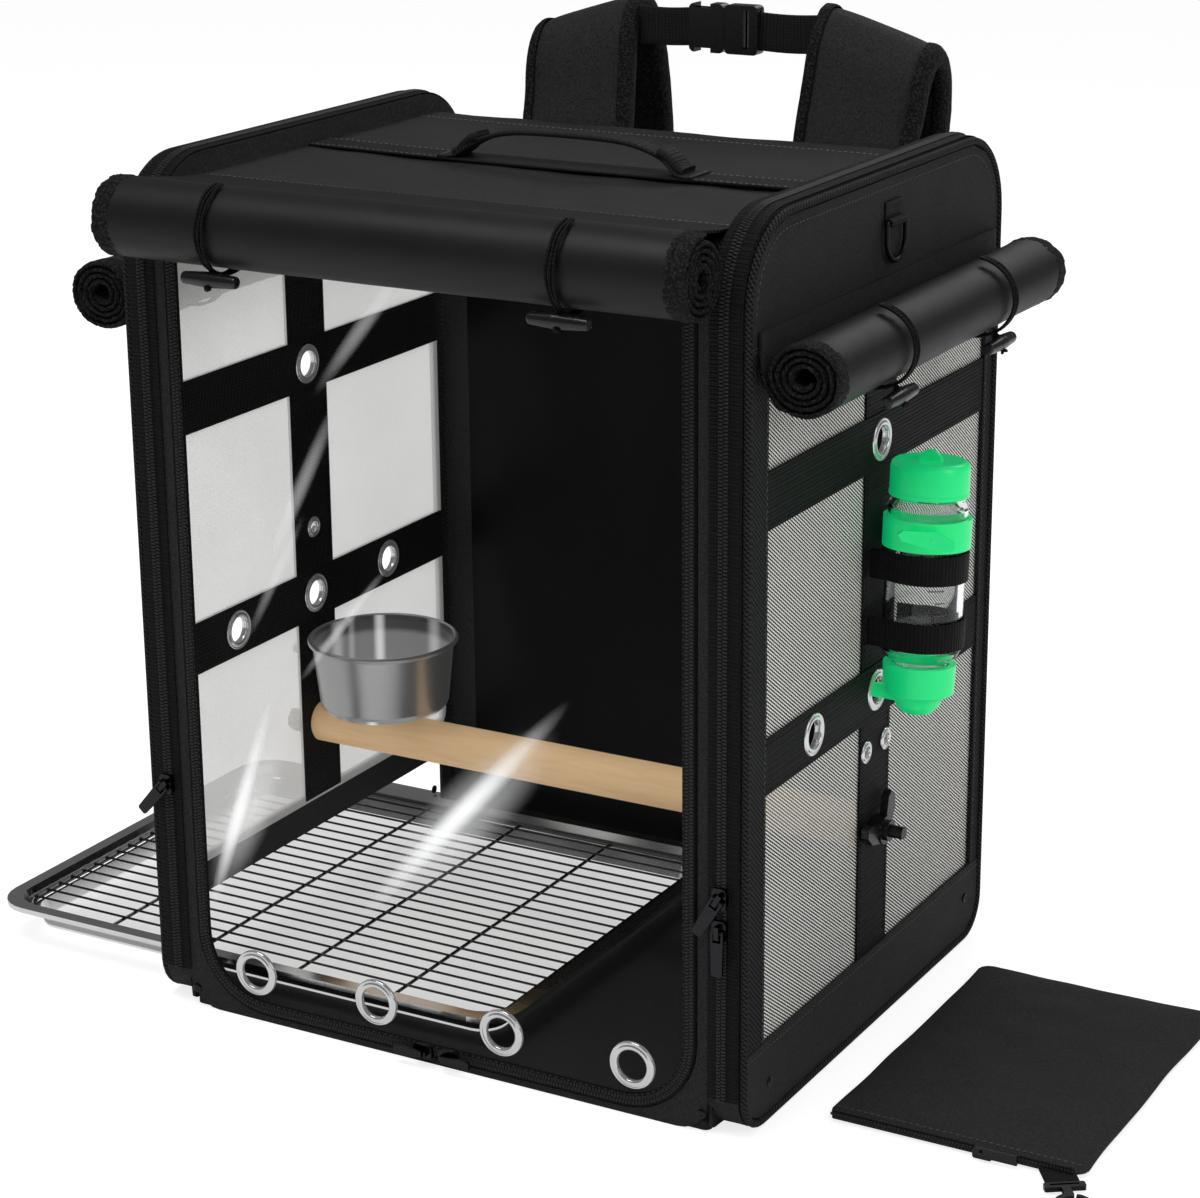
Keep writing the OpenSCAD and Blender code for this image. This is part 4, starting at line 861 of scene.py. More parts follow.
class CARRIER_OT_side_walls(PieceOperator, bpy.types.Operator):
    """Side panels: upper panel, borders and kick band, with their seams"""
    bl_idname = "carrier.side_walls"
    bl_label = "Side panels"

    def execute(self, context):
        for side, name in SIDES:
            self.cloth(side, name)
            self.border(side, name)
            self.seams(side, name)
        return {"FINISHED"}

    @staticmethod
    def back(z):
        """Back edge of the panel at a height."""
        radius, past = (LOW_R, LOW_R - z) if z < LOW_R else (TOP_R, z - (BODY_H - TOP_R))
        if past <= 0:
            return HALF_D - PLATE_INSET
        reach = radius - PLATE_INSET
        return HALF_D - radius + math.sqrt(max(reach * reach - past * past, 0))

    @classmethod
    def front(cls, z):
        return -cls.back(z)

    @staticmethod
    def patch(piece, side, z0, z1, y_from, y_to, out, thickness, rise, depth):
        """Cloth between two heights and between two edges, which are numbers or functions of the height."""
        def edges(z):
            return [edge(z) if callable(edge) else edge for edge in (y_from, y_to)]

        tall = max(2, round((z1 - z0) / rise))
        near, far = edges((z0 + z1) / 2)
        count = max(3, round((far - near) / rise))
        rows = []
        for i in range(tall + 1):
            z = z0 + (z1 - z0) * i / tall
            a, b = edges(z)
            row = []
            for k in range(count + 1):
                y = a + (b - a) * k / count
                edge = min(k, count - k, 3) / 3
                x = out - abs(crease(Vector((side * 90, y, z)), 46, depth)) * edge
                row.append(Vector((side * x, y, z)))
            rows.append(row if side > 0 else row[::-1])
        piece.slab(rows, thickness)

    def cloth(self, side, name):
        wrinkle = chosen("wrinkle")
        half, foot = SLOT_W / 2, PLATE_INSET + 0.2
        piece = Piece()
        patches = [(WINDOW_HIGH - 1, BODY_H - PLATE_INSET - 0.4, self.front, self.back, SIDE_OUT, CLOTH_T, 7,
                    1.4 * wrinkle)]
        if side > 0:
            patches += [(foot, WINDOW_LOW + 1, self.front, self.back, SIDE_OUT, CLOTH_T, 6, 0.8 * wrinkle)]
        else:
            # Round the slot of the tray
            patches += [(foot, LEFT_LOW + 1, self.front, -half, SIDE_OUT, CLOTH_T, 6, 0.4),
                        (foot, LEFT_LOW + 1, half, self.back, SIDE_OUT, CLOTH_T, 6, 0.4),
                        (SLOT_TOP, LEFT_LOW + 1, -half, half, SIDE_OUT - 0.6, 2.0, 6, 0.2),
                        (foot, BASE_T + 0.2, -half, half, SIDE_OUT, CLOTH_T, 6, 0.0)]
        for patch in patches:
            self.patch(piece, side, *patch)
        piece.make(name + "_side_cloth", "black_fabric", nodes=[name + "_side_panel"])

    def border(self, side, name):
        piece = Piece()
        low, edge = WINDOW_LOW if side > 0 else LEFT_LOW, HALF_D - PLATE_INSET
        for a, b in ((-edge, -FRONT_EDGE), (WINDOW_Y, edge)):
            self.patch(piece, side, low - 1, WINDOW_HIGH + 1, a, b, SIDE_OUT - 0.5, 1.9, 6, 0.3)
        piece.make(name + "_side_border", "piping")

    def seams(self, side, name):
        thread = Piece()
        low, edge = WINDOW_LOW if side > 0 else LEFT_LOW, HALF_D - PLATE_INSET - 2
        x, out = side * (SIDE_OUT + 0.1), X * side
        for z, y in ((WINDOW_HIGH + 2.4, edge), (low - 3.0, edge if side > 0 else WINDOW_Y)):
            thread.stitches(at_x([(-y, z), (y, z)], x), out)
        thread.stitches(at_x([p for p in side_loop(11) if p[1] > low + 4], x), out)
        for y in (-FRONT_EDGE - 2.2, WINDOW_Y + 2.2):
            thread.stitches(at_x([(y, low), (y, WINDOW_HIGH)], x - side * 0.4), out)
        thread.make(name + "_side_stitches", "black_webbing", look="thread")


class CARRIER_OT_gussets(PieceOperator, bpy.types.Operator):
    """Gussets at the four long edges, with their piping and coil zips"""
    bl_idname = "carrier.gussets"
    bl_label = "Gussets, piping and zips"

    def execute(self, context):
        band, pipe, tape, coil, thread = Piece(), Piece(), Piece(), Piece(), Piece()
        for side in (-1, 1):
            self.band(band, side)
            path = resample(at_x(side_loop(2.4), side * (SIDE_IN + 2.5)), 5, closed=True)
            pipe.sweep(path, round_section(2.35, 12), across=X * side, closed=True)
            for lift, width, thick, inset in ((0.45, 12, 0.8, ZIP_INSET), (0.55, 19.4, 0.5, 10)):
                over = resample(self.over_top(lift, side * (SIDE_IN - inset)), 4)
                tape.sweep(over, strap_section(width, thick), across=X)
            zip_x = side * (SIDE_IN - ZIP_INSET)
            coil.teeth(self.over_top(0.85, zip_x), across=X, gap=1.5, reach=2.7, height=1.3)
            for x in (zip_x - 4.6, zip_x + 4.6):
                thread.stitches(self.over_top(0.85, x), self.outward, width=0.6, height=0.3)
        band.make("gusset_cloth", "black_fabric", nodes=["side_gussets"])
        pipe.make("piping", "piping", nodes=["side_piping"])
        tape.make("side_zip_tape", "black_webbing", nodes=["side_zips"])
        coil.make("side_zip_teeth", "zip", sharp=30)
        thread.make("side_zip_stitches", "black_webbing")
        return {"FINISHED"}

    @staticmethod
    def outward(p):
        """Way out of the gusset's band at a point."""
        if p.z < BODY_H - TOP_R:
            return Vector((0, p.y, 0)).normalized()
        return (p - Vector((p.x, max(min(p.y, HALF_D - TOP_R), TOP_R - HALF_D), BODY_H - TOP_R))).normalized()

    @staticmethod
    def over_top(lift, x):
        """Path up the front, over the top and down the back, off the band by a lift."""
        reach = HALF_D + lift
        points = [(reach, 24)] + arc(HALF_D - TOP_R, BODY_H - TOP_R, TOP_R + lift, 0, 90)
        points += arc(TOP_R - HALF_D, BODY_H - TOP_R, TOP_R + lift, 90, 180) + [(-reach, 24)]
        return at_x(points, x)

    @staticmethod
    def band(piece, side):
        """The band, and the upright web that steps down to the lower middle section."""
        path = resample(at_x(side_loop(), 0), 6, closed=True)
        rows = []
        for p, t in zip(path, tangents(path, closed=True)):
            out = t.cross(X)
            row = []
            for k in range(5):
                x = MIDDLE_X + (SIDE_IN - MIDDLE_X) * k / 4
                sink = 0.25 + abs(crease(p + X * x * side, 30, 0.5)) * (k in (1, 2, 3))
                row.append(Vector((side * x, p.y, p.z)) - out * sink)
            rows.append(row if side < 0 else row[::-1])
        piece.slab(rows, WALL_T - 0.4, round_rows=True)
        piece.plate([side_loop(0.4), middle_loop(WALL_T)], mirrored(side), MIDDLE_X, MIDDLE_X + WALL_T)


def sag(x, y):
    """How far the top hangs down at a place."""
    across = max(0.0, 1 - (x / MIDDLE_X) ** 2)
    along = max(0.0, 1 - (y / (HALF_D - MIDDLE_R)) ** 2)
    return 1.8 * across * along


class CARRIER_OT_top(PieceOperator, bpy.types.Operator):
    """Top panel with its front band, cross webbing and seams"""
    bl_idname = "carrier.top"
    bl_label = "Top panel"

    def execute(self, context):
        profile = (arc(HALF_D - MIDDLE_R, FRAME_TOP, MIDDLE_R - 0.1, 0, 90, 8)
                   + [(y, TOP_Z - 0.1) for y in range(130, -131, -10)]
                   + arc(MIDDLE_R - HALF_D, FRAME_TOP, MIDDLE_R - 0.1, 90, 180, 8))
        columns = 44
        rows = []
        for y, z in profile:
            row = []
            for k in range(columns + 1):
                x = -MIDDLE_X + 2 * MIDDLE_X * k / columns
                edge = min(k, columns - k, 3) / 3
                flat = max(0.0, min(1.0, (z - FRAME_TOP) / MIDDLE_R * 2 - 1))
                fold = abs(crease(Vector((x, y, z)), 70, 2.0)) + abs(crease(Vector((x, y * 3, 40)), 90, 1.6))
                row.append(Vector((x, y, z - (sag(x, y) + fold * chosen("wrinkle")) * edge * flat)))
            rows.append(row)
        cloth = Piece()
        cloth.slab(rows[::-1], WALL_T - 0.2)
        made = cloth.make("top_cloth", "black_fabric", nodes=["top_panel"])
        # The photo's light reaches the inside through the top
        made.visible_shadow = made.visible_diffuse = False

        band = Piece()
        front = arc(MIDDLE_R - HALF_D, FRAME_TOP, MIDDLE_R + 0.35, 146, 90, 8) + [(-124, TOP_Z + 0.3)]
        half = MIDDLE_X - 2
        band.slab([[Vector((-half + 2 * half * k / 30, y, z - 0.2)) for k in range(31)] for y, z in front], 0.8)
        band.make("top_front_band", "piping")

        strip = Piece()
        path = [Vector((x, 0, TOP_Z + 0.85 - sag(x, 0) * STRIP_HANG)) for x in range(-184, 185, 8)]
        strip.sweep(path, strap_section(WEBBING_W, 1.5), across=Y)
        strip.make("top_webbing", "black_webbing", look="lit_webbing")

        thread = Piece()
        for y in (-124, 118):
            thread.stitches([Vector((x, y, TOP_Z + 0.25 - sag(x, y))) for x in range(-182, 183, 14)], Z)
        for y in (-10.5, 10.5):
            for a, b in ((-183, -78), (78, 183)):
                thread.stitches([Vector((x, y, TOP_Z + 1.55 - sag(x, y) * STRIP_HANG)) for x in (a, (a + b) / 2, b)], Z)
        thread.make("top_stitches", "black_webbing", look="thread")
        return {"FINISHED"}


def door_loop(inset):
    """Outline of the door as (x, z), drawn in by a margin."""
    w, z, r = DOOR_W / 2 - inset, DOOR_LOW + inset, DOOR_R - inset
    top = DOOR_TOP + (0.3 if inset < 0 else 0)
    return arc(w - r, z + r, r, -90, 0) + [(w, top), (-w, top)] + arc(r - w, z + r, r, 180, 270)


def door_run(inset):
    """The door's zip run: down the left, along the foot and up the right."""
    w, z, r = DOOR_W / 2 - inset, DOOR_LOW + inset, DOOR_R - inset
    return [(-w, DOOR_TOP - 1)] + arc(r - w, z + r, r, 180, 270) + arc(w - r, z + r, r, -90, 0) + [(w, DOOR_TOP - 1)]


class CARRIER_OT_front_and_back(PieceOperator, bpy.types.Operator):
    """Front frame round the door, back wall with its folds, and the floor board's cover"""
    bl_idname = "carrier.front_and_back"
    bl_label = "Front frame, back wall and floor"

    def execute(self, context):
        front = Piece()
        w, r = MIDDLE_X, 20
        outer = (arc(w - r, r, r, -90, 0, 6) + [(w, FRAME_TOP), (-w, FRAME_TOP)] + arc(r - w, r, r, 180, 270, 6))
        front.plate([outer, door_loop(-0.4)], lambda a, b, c: Vector((a, c, b)), 0.3 - HALF_D, WALL_T - HALF_D)
        front.make("front_cloth", "black_fabric", nodes=["front_frame"])

        rows = self.back_rows(62, 56)
        back = Piece()
        back.slab(rows, WALL_T - 0.3)
        back.make("back_cloth", "black_fabric", nodes=["back_panel"], look="lining")
        cover = Piece()
        cover.slab([[p + Y * 0.35 for p in row] for row in rows], 0.5)
        cover.make("back_cover", "black_fabric")

        floor = Piece()
        w, d = MIDDLE_X - 0.5, HALF_D - WALL_T - 0.5
        floor.plate([rounded(2 * w, 2 * d, 4)], lambda a, b, c: Vector((a, b, c)), 0.0, BASE_T - 0.1)
        floor.make("floor_cover", "black_fabric", nodes=["base_panel"])
        return {"FINISHED"}

    @staticmethod
    def back_rows(tall, wide):
        """The back wall with its long slanting folds."""
        rows = []
        for i in range(tall):
            z = FRAME_TOP * i / (tall - 1)
            row = []
            for k in range(wide):
                x = (MIDDLE_X + 1.2) * (1 - 2 * k / (wide - 1))
                edge = min(k, wide - 1 - k, i, tall - 1 - i, 4) / 4
                fold = abs(noise.noise(Vector((x / 60 + z / 150, 3, z / 210)))) * 7
                fold += abs(noise.noise(Vector((x / 130 - z / 90, 8, z / 160)))) * 5
                fold += crease(Vector((x, 400, z)), 25, 0.5) + 0.3
                row.append(Vector((x, HALF_D - 0.15 - fold * edge * 0.6, z)))
            rows.append(row)
        return rows


class CARRIER_OT_door(PieceOperator, bpy.types.Operator):
    """Front door: clear sheet, binding and coil zip"""
    bl_idname = "carrier.door"
    bl_label = "Door"

    def execute(self, context):
        face = corners("door_binding")[0].y + 1
        tape, coil, thread = Piece(), Piece(), Piece()
        for inset, width, thick, y in ((4.5, 9, 2.4, face + 1.5), (2.3, 3.2, 0.9, face + 0.1), (7.9, 2.2, 1.0, face)):
            tape.sweep(resample(at_y(door_run(inset), y), 5), strap_section(width, thick), facing=-Y)
        tape.make("door_tape", "black_webbing", "door", nodes=["door_binding"])
        coil.teeth(at_y(door_run(4.6), face + 0.15), facing=-Y, gap=1.4, reach=2.5, height=0.95)
        coil.make("door_zip_teeth", "zip", "door", sharp=30)
        thread.stitches(at_y(door_run(8.2), face - 0.4), -Y, width=0.6, height=0.3)
        thread.make("door_stitches", "black_webbing", "door", look="thread")
        made = self.clear_sheet().make("door_clear_sheet", "clear_sheet", "door", nodes=["door_window"], sharp=80)
        return {"FINISHED"}

    @staticmethod
    def clear_sheet():
        """A gently waved sheet, open behind the eyelets."""
        low, high = corners("door_window")
        middle, radius = (low.y + high.y) / 2, DOOR_R - DOOR_TRIM
        eyes = [Vector((x, 0, DOOR_EYE_Z)) for x in DOOR_EYES]
        n_z, n_x = 112, 84
        piece = Piece()
        for i in range(n_z + 1):
            z = low.z + (high.z - low.z) * i / n_z
            reach = high.x
            if z < low.z + radius:
                drop = low.z + radius - z
                reach = high.x - radius + math.sqrt(max(radius * radius - drop * drop, 0))
            for k in range(n_x + 1):
                x = -reach + 2 * reach * k / n_x
                wave = 0.45 * noise.noise(Vector((x / 70 + z / 190, 5, z / 120)))
                piece.points.append(Vector((x, middle + wave, z)))
        for i in range(n_z):
            for k in range(n_x):
                first = i * (n_x + 1) + k
                ring = [first, first + 1, first + n_x + 2, first + n_x + 1]
                spots = [piece.points[j] for j in ring]
                centre = sum(spots, Vector()) / 4
                if min(Vector((e.x - centre.x, 0, e.z - centre.z)).length for e in eyes) > 12.2:
                    piece.face(ring, [(p.x, p.z) for p in spots])
        return piece


class CARRIER_OT_windows(PieceOperator, bpy.types.Operator):
    """Mesh windows and the webbing that crosses them"""
    bl_idname = "carrier.windows"
    bl_label = "Mesh windows and webbing"

    def execute(self, context):
        for side, name, low, extra in ((1, "right", WINDOW_LOW, PAIR_EYES), (-1, "left", LEFT_LOW, SINGLE_EYE)):
            nodes = side > 0
            self.mesh(side, name, low, extra, ["side_mesh"] if nodes else ())
            cross = self.cross(side, low, extra, (BIG_BORE, SMALL_BORE), (SIDE_IN + 0.7, SIDE_IN + WEB_T),
                               (SIDE_IN + 0.1, SIDE_IN + 1.2))
            cross.make(name + "_window_webbing", "black_webbing", nodes=["webbing"] if nodes else ())
            self.seams(side, low).make(name + "_window_stitches", "strap_padding")
            lining = self.cross(side, low, extra, (BIG_FLANGE, SMALL_FLANGE), (MESH_IN - 0.1, MESH_IN + 0.4),
                                (MESH_IN + 0.05, MESH_IN + 0.45))
            lining.make(name + "_window_lining", "black_webbing")
        sill = Piece()
        sill.plate([rounded(SLOT_W + 4, 24, 1, 0, SLOT_TOP + 13)], mirrored(-1), SIDE_OUT + 0.1, SIDE_OUT + WEB_T)
        sill.make("slot_sill", "black_webbing")
        self.tabs()
        return {"FINISHED"}

    @staticmethod
    def holes(spots, bore):
        return [arc(y, z, bore, 0, 345, 23) for y, z in spots]

    def mesh(self, side, name, low, extra, nodes):
        piece = Piece()
        w, h = 2 * WINDOW_Y + 10, WINDOW_HIGH - low + 10
        outer = rounded(w, h, 12, 0, (WINDOW_HIGH + low) / 2)
        joined, triangles = fill([outer, *self.holes(BIG_EYES, BIG_BORE + 0.6), *self.holes(extra, SMALL_BORE + 0.4)])
        piece.points = at_x(joined, side * (MESH_IN + 0.6))
        for tri in triangles:
            piece.face(tri, [joined[i] for i in tri])
        made = piece.make(name + "_window_mesh", "mesh", nodes=nodes, look="mesh" if side > 0 else "fine_mesh")
        w * MM
        h * MM
        name + "_side_border"

    def cross(self, side, low, extra, bores, band, post):
        """Two bands and the post over them, each between its two planes, with round holes at the eyelets."""
        piece, place = Piece(), mirrored(side)
        big, small = bores
        for z in (UPPER_Z, LOWER_Z):
            spots = self.holes([e for e in BIG_EYES if e[1] == z], big)
            piece.plate([rounded(2 * WINDOW_Y + 8, BAND_W, 1, 0, z), *spots], place, *band)
        spots = self.holes([e for e in BIG_EYES if e[0] == POST_Y], big) + self.holes(extra, small)
        outline = rounded(POST_W, WINDOW_HIGH - low + 6, 1, POST_Y, (WINDOW_HIGH + low) / 2)
        piece.plate([outline, *spots], place, *post)
        return piece

    @staticmethod
    def seams(side, low):
        """Stitches along both edges of the bands and of the post, outside and inside."""
        thread = Piece()
        for z in (UPPER_Z, LOWER_Z):
            for s in (-1, 1):
                at = z + s * (BAND_W / 2 - 3)
                for out, x in ((side, SIDE_IN + WEB_T), (-side, MESH_IN)):
                    thread.stitches(at_x([(-WINDOW_Y, at), (WINDOW_Y, at)], side * x), X * out)
        for s in (-1, 1):
            y = POST_Y + s * (POST_W / 2 - 3)
            for out, x in ((side, SIDE_IN + 1.2), (-side, MESH_IN)):
                thread.stitches(at_x([(y, low), (y, WINDOW_HIGH)], side * x), X * out)
        return thread

    @staticmethod
    def tabs():
        """Folded tabs that carry the D-rings."""
        piece = Piece()
        y, bend = 10, 2.35
        for side, name in ((-1, "left"), (1, "right")):
            bar_x, bar_z = side * (SIDE_OUT + 2.98), corners(name + "_dring")[1].z - 1.6
            path = [Vector((side * (SIDE_OUT + 0.7), y, bar_z + rise)) for rise in (12, 3)]
            path += [Vector((bar_x + side * a, y, bar_z + b)) for a, b in arc(0, 0, bend, 150, -90)]
            piece.sweep(resample(path, 1.5), strap_section(22, 1.0), across=Y)
        piece.make("dring_tabs", "black_webbing", look="lit_webbing")


def spiral(end, steps=20):
    """Turns from the core out to an angle, clockwise, as offsets from the roll's axis."""
    turns = (ROLL_OUT - ROLL_CORE) / ROLL_PITCH
    count = int(turns * steps)
    path = []
    for i in range(count + 1):
        back = (count - i) / steps
        angle = math.radians(end + 360 * back)
        r = ROLL_OUT - ROLL_PITCH * back
        path.append((r * math.cos(angle), r * math.sin(angle)))
    return path


class CARRIER_OT_curtains(PieceOperator, bpy.types.Operator):
    """Rolled curtains with bound ends, elastic ties and the cords that hold the toggles"""
    bl_idname = "carrier.curtains"
    bl_label = "Rolled curtains"

    def execute(self, context):
        turns = [(FRONT_ROLL_Y + a, FRONT_ROLL_Z + b) for a, b in spiral(78)]
        header = [(MIDDLE_R - HALF_D - 16, TOP_Z + 2.6), (MIDDLE_R - HALF_D + 6, TOP_Z + 0.8)]
        self.roll("front_roll", turns, header, 195, 182, lambda a, b, c: Vector((c, a, b)), "piping")
        turns = [(SIDE_ROLL_X + a, SIDE_ROLL_Z + b * SQUASH) for a, b in spiral(180)]
        header = [(SIDE_OUT + 1.9, SIDE_ROLL_Z + 13), (SIDE_OUT + 1.9, SIDE_ROLL_Z + 23)]
        for side, name in SIDES:
            made = self.roll(name + "_roll", turns, header, 165, 165,
                             lambda a, b, c, s=side: Vector((s * a, -s * c, b)), "black_fabric")
            # The photo's light reaches the inside from the left
            made.visible_shadow = side > 0
        self.ties()
        return {"FINISHED"}

    def roll(self, name, turns, header, reach, header_reach, place, header_look):
        """Cloth wound along a spiral, with a thicker bound edge at each end."""
        seed = sum(map(ord, name))
        cloth, band, bound = Piece(), Piece(), Piece()
        self.wind(cloth, turns, reach - ROLL_END, 2.7, place, seed, 0.35)
        self.wind(band, turns[-2:] + header, header_reach - 2, 1.6, place, seed, 0.0)
        band.make(name + "_header", "piping", look=header_look)
        made = cloth.make(name + "_cloth", "curtain_fabric", nodes=[name])
        2 * (reach - ROLL_END) * MM
        for s in (-1, 1):
            self.bind(bound, turns, s, reach, place, seed)
        bound.make(name + "_binding", "strap_padding", sharp=75)
        return made

    @staticmethod
    def wind(piece, path, reach, thickness, place, seed, shake):
        columns = 26
        rows = []
        for a, b, out_a, out_b in normals(path):
            row = []
            for k in range(columns + 1):
                c = -reach + 2 * reach * k / columns
                out = thickness / 2 + shake * noise.noise(Vector((a / 16, b / 16 + seed, c / 45)))
                row.append(place(a + out_a * out, b + out_b * out, c))
            rows.append(row)
        piece.slab(rows, thickness)

    @staticmethod
    def bind(piece, path, s, reach, place, seed):
        """Binding of one end: a thick looped edge that follows the spiral."""
        steps, half = 18, ROLL_T / 2 + 0.1
        path = [(p.x, p.y) for p in resample([Vector(p) for p in path], 1.3)]
        rows = []
        for a, b, out_a, out_b in normals(path):
            drift = 1.6 * noise.noise(Vector((a / 9, b / 9 + seed, s * 3))) - 1.0
            row = []
            for k in range(steps):
                angle = 2 * math.pi * k / steps
                fuzz = 0.75 * noise.noise(Vector((a / 1.7, b / 1.7 + seed, k * 1.7 + s * 9)))
                up = (half + fuzz) * math.sin(angle)
                c = s * (reach + drift - 7.5 + (7.4 + 1.2 * fuzz) * signed_power(math.cos(angle), 0.5))
                row.append(place(a + out_a * up, b + out_b * up, c))
            rows.append(row if s > 0 else row[::-1])
        piece.cap(piece.grid(rows, round_columns=True), rows)

    def ties(self):
        piece = Piece()
        spots = []
        for s in (-1, 1):
            spots.append((Vector((s * FRONT_TIE_X, FRONT_ROLL_Y, FRONT_ROLL_Z)), -Y, X, 1.0))
            for side in (-1, 1):
                spots.append((Vector((side * SIDE_ROLL_X, s * SIDE_TIE_Y, SIDE_ROLL_Z)), X * side, Y, SQUASH + 0.02))
        for centre, out, along, squash in spots:
            for lane in (-1, 0, 1):
                piece.sweep(self.loop(centre, out, along, squash, lane), round_section(0.95, 8), across=along)
            drop = math.radians(-TOGGLE_DROP)
            way = out * math.cos(drop) + Z * math.sin(drop)
            for lane in (-1, 1):
                cord = [centre + way * r + along * (lane * 0.7) for r in (ROLL_R + 0.8, 29, 33, TOGGLE_SEAT + 5.2)]
                piece.sweep(cord, round_section(0.72, 8), across=along)
            self.knot(piece, centre + way * (TOGGLE_SEAT + 5.6), way, along)
            self.knot(piece, centre + way * (ROLL_R + 2.0), way, along)
        piece.make("roll_tie_cords", "black_webbing", nodes=["roll_ties"])

    @staticmethod
    def loop(centre, out, along, squash, lane):
        """One of a tie's three strands, which draw together at the toggle."""
        r = ROLL_R + 1.15 + 0.1 * lane * lane
        path = []
        for k in range(41):
            a = 82 - 254 * k / 40
            angle = math.radians(a)
            pinch = 1 - 0.72 * math.exp(-((a + TOGGLE_DROP) / 16) ** 2)
            sway = 0.3 * math.sin(a / 9 + lane * 2)
            path.append(centre + out * (r * math.cos(angle)) + Z * (r * math.sin(angle) * squash)
                        + along * (lane * 2.4 * pinch + sway))
        return path

    @staticmethod
    def knot(piece, centre, way, along):
        """A small knot: a cord that turns on itself."""
        side = way.cross(along)
        turns = [2 * math.pi * k / 24 for k in range(24)]
        path = [centre + along * (1.5 * math.cos(a)) + side * (1.5 * math.sin(a)) + way * (0.5 * math.sin(2 * a))
                for a in turns]
        piece.sweep(path, round_section(0.85, 8), across=way, closed=True)


class CARRIER_OT_handle(PieceOperator, bpy.types.Operator):
    """Carry handle of folded webbing"""
    bl_idname = "carrier.handle"
    bl_label = "Carry handle"

    def execute(self, context):
        high = TOP_Z + WEB_T + 17
        outer, seam, inner = (TOP_Z + 2.2 - sag(x, 0) * STRIP_HANG for x in (89, 80, 74))
        half = [(-89, outer), (-82, seam), (-76, inner + 1.5), (-69, inner + 7), (-58, high - 5.5), (-42, high - 1.5),
                (-20, high)]
        points = [Vector((x, 0, z)) for x, z in half] + [Vector((-x, 0, z)) for x, z in half[::-1]]
        piece, thread = Piece(), Piece()
        piece.sweep(resample(smooth(points, 6), 4), self.section, across=Y)
        for s in (-1, 1):
            wrap = [Vector((s * x, 0, inner + z)) for x, z in ((80, 1.8), (76, 3.4), (72, 7.5), (67, 11.5), (63, 12.6))]
            piece.sweep(resample(smooth(wrap, 4), 1.5), strap_section(18, 6.0), across=Y)
            for x in (78, 87):
                thread.stitches([Vector((s * x, y, seam + 0.9)) for y in (-10, 10)], Z, 2.2, length=2)
        piece.make("carry_handle_webbing", "black_webbing", nodes=["carry_handle"], look="lit_webbing")
        thread.make("carry_handle_stitches", "black_webbing", look="thread")
        return {"FINISHED"}

    @staticmethod
    def section(share):
        """Flat at the ends and folded double in the middle."""
        fold = min(1.0, max(0.0, (0.5 - abs(share - 0.5) - 0.07) * 14))
        return strap_section(WEBBING_W - 10 * fold, 1.2 + 2.0 * fold)


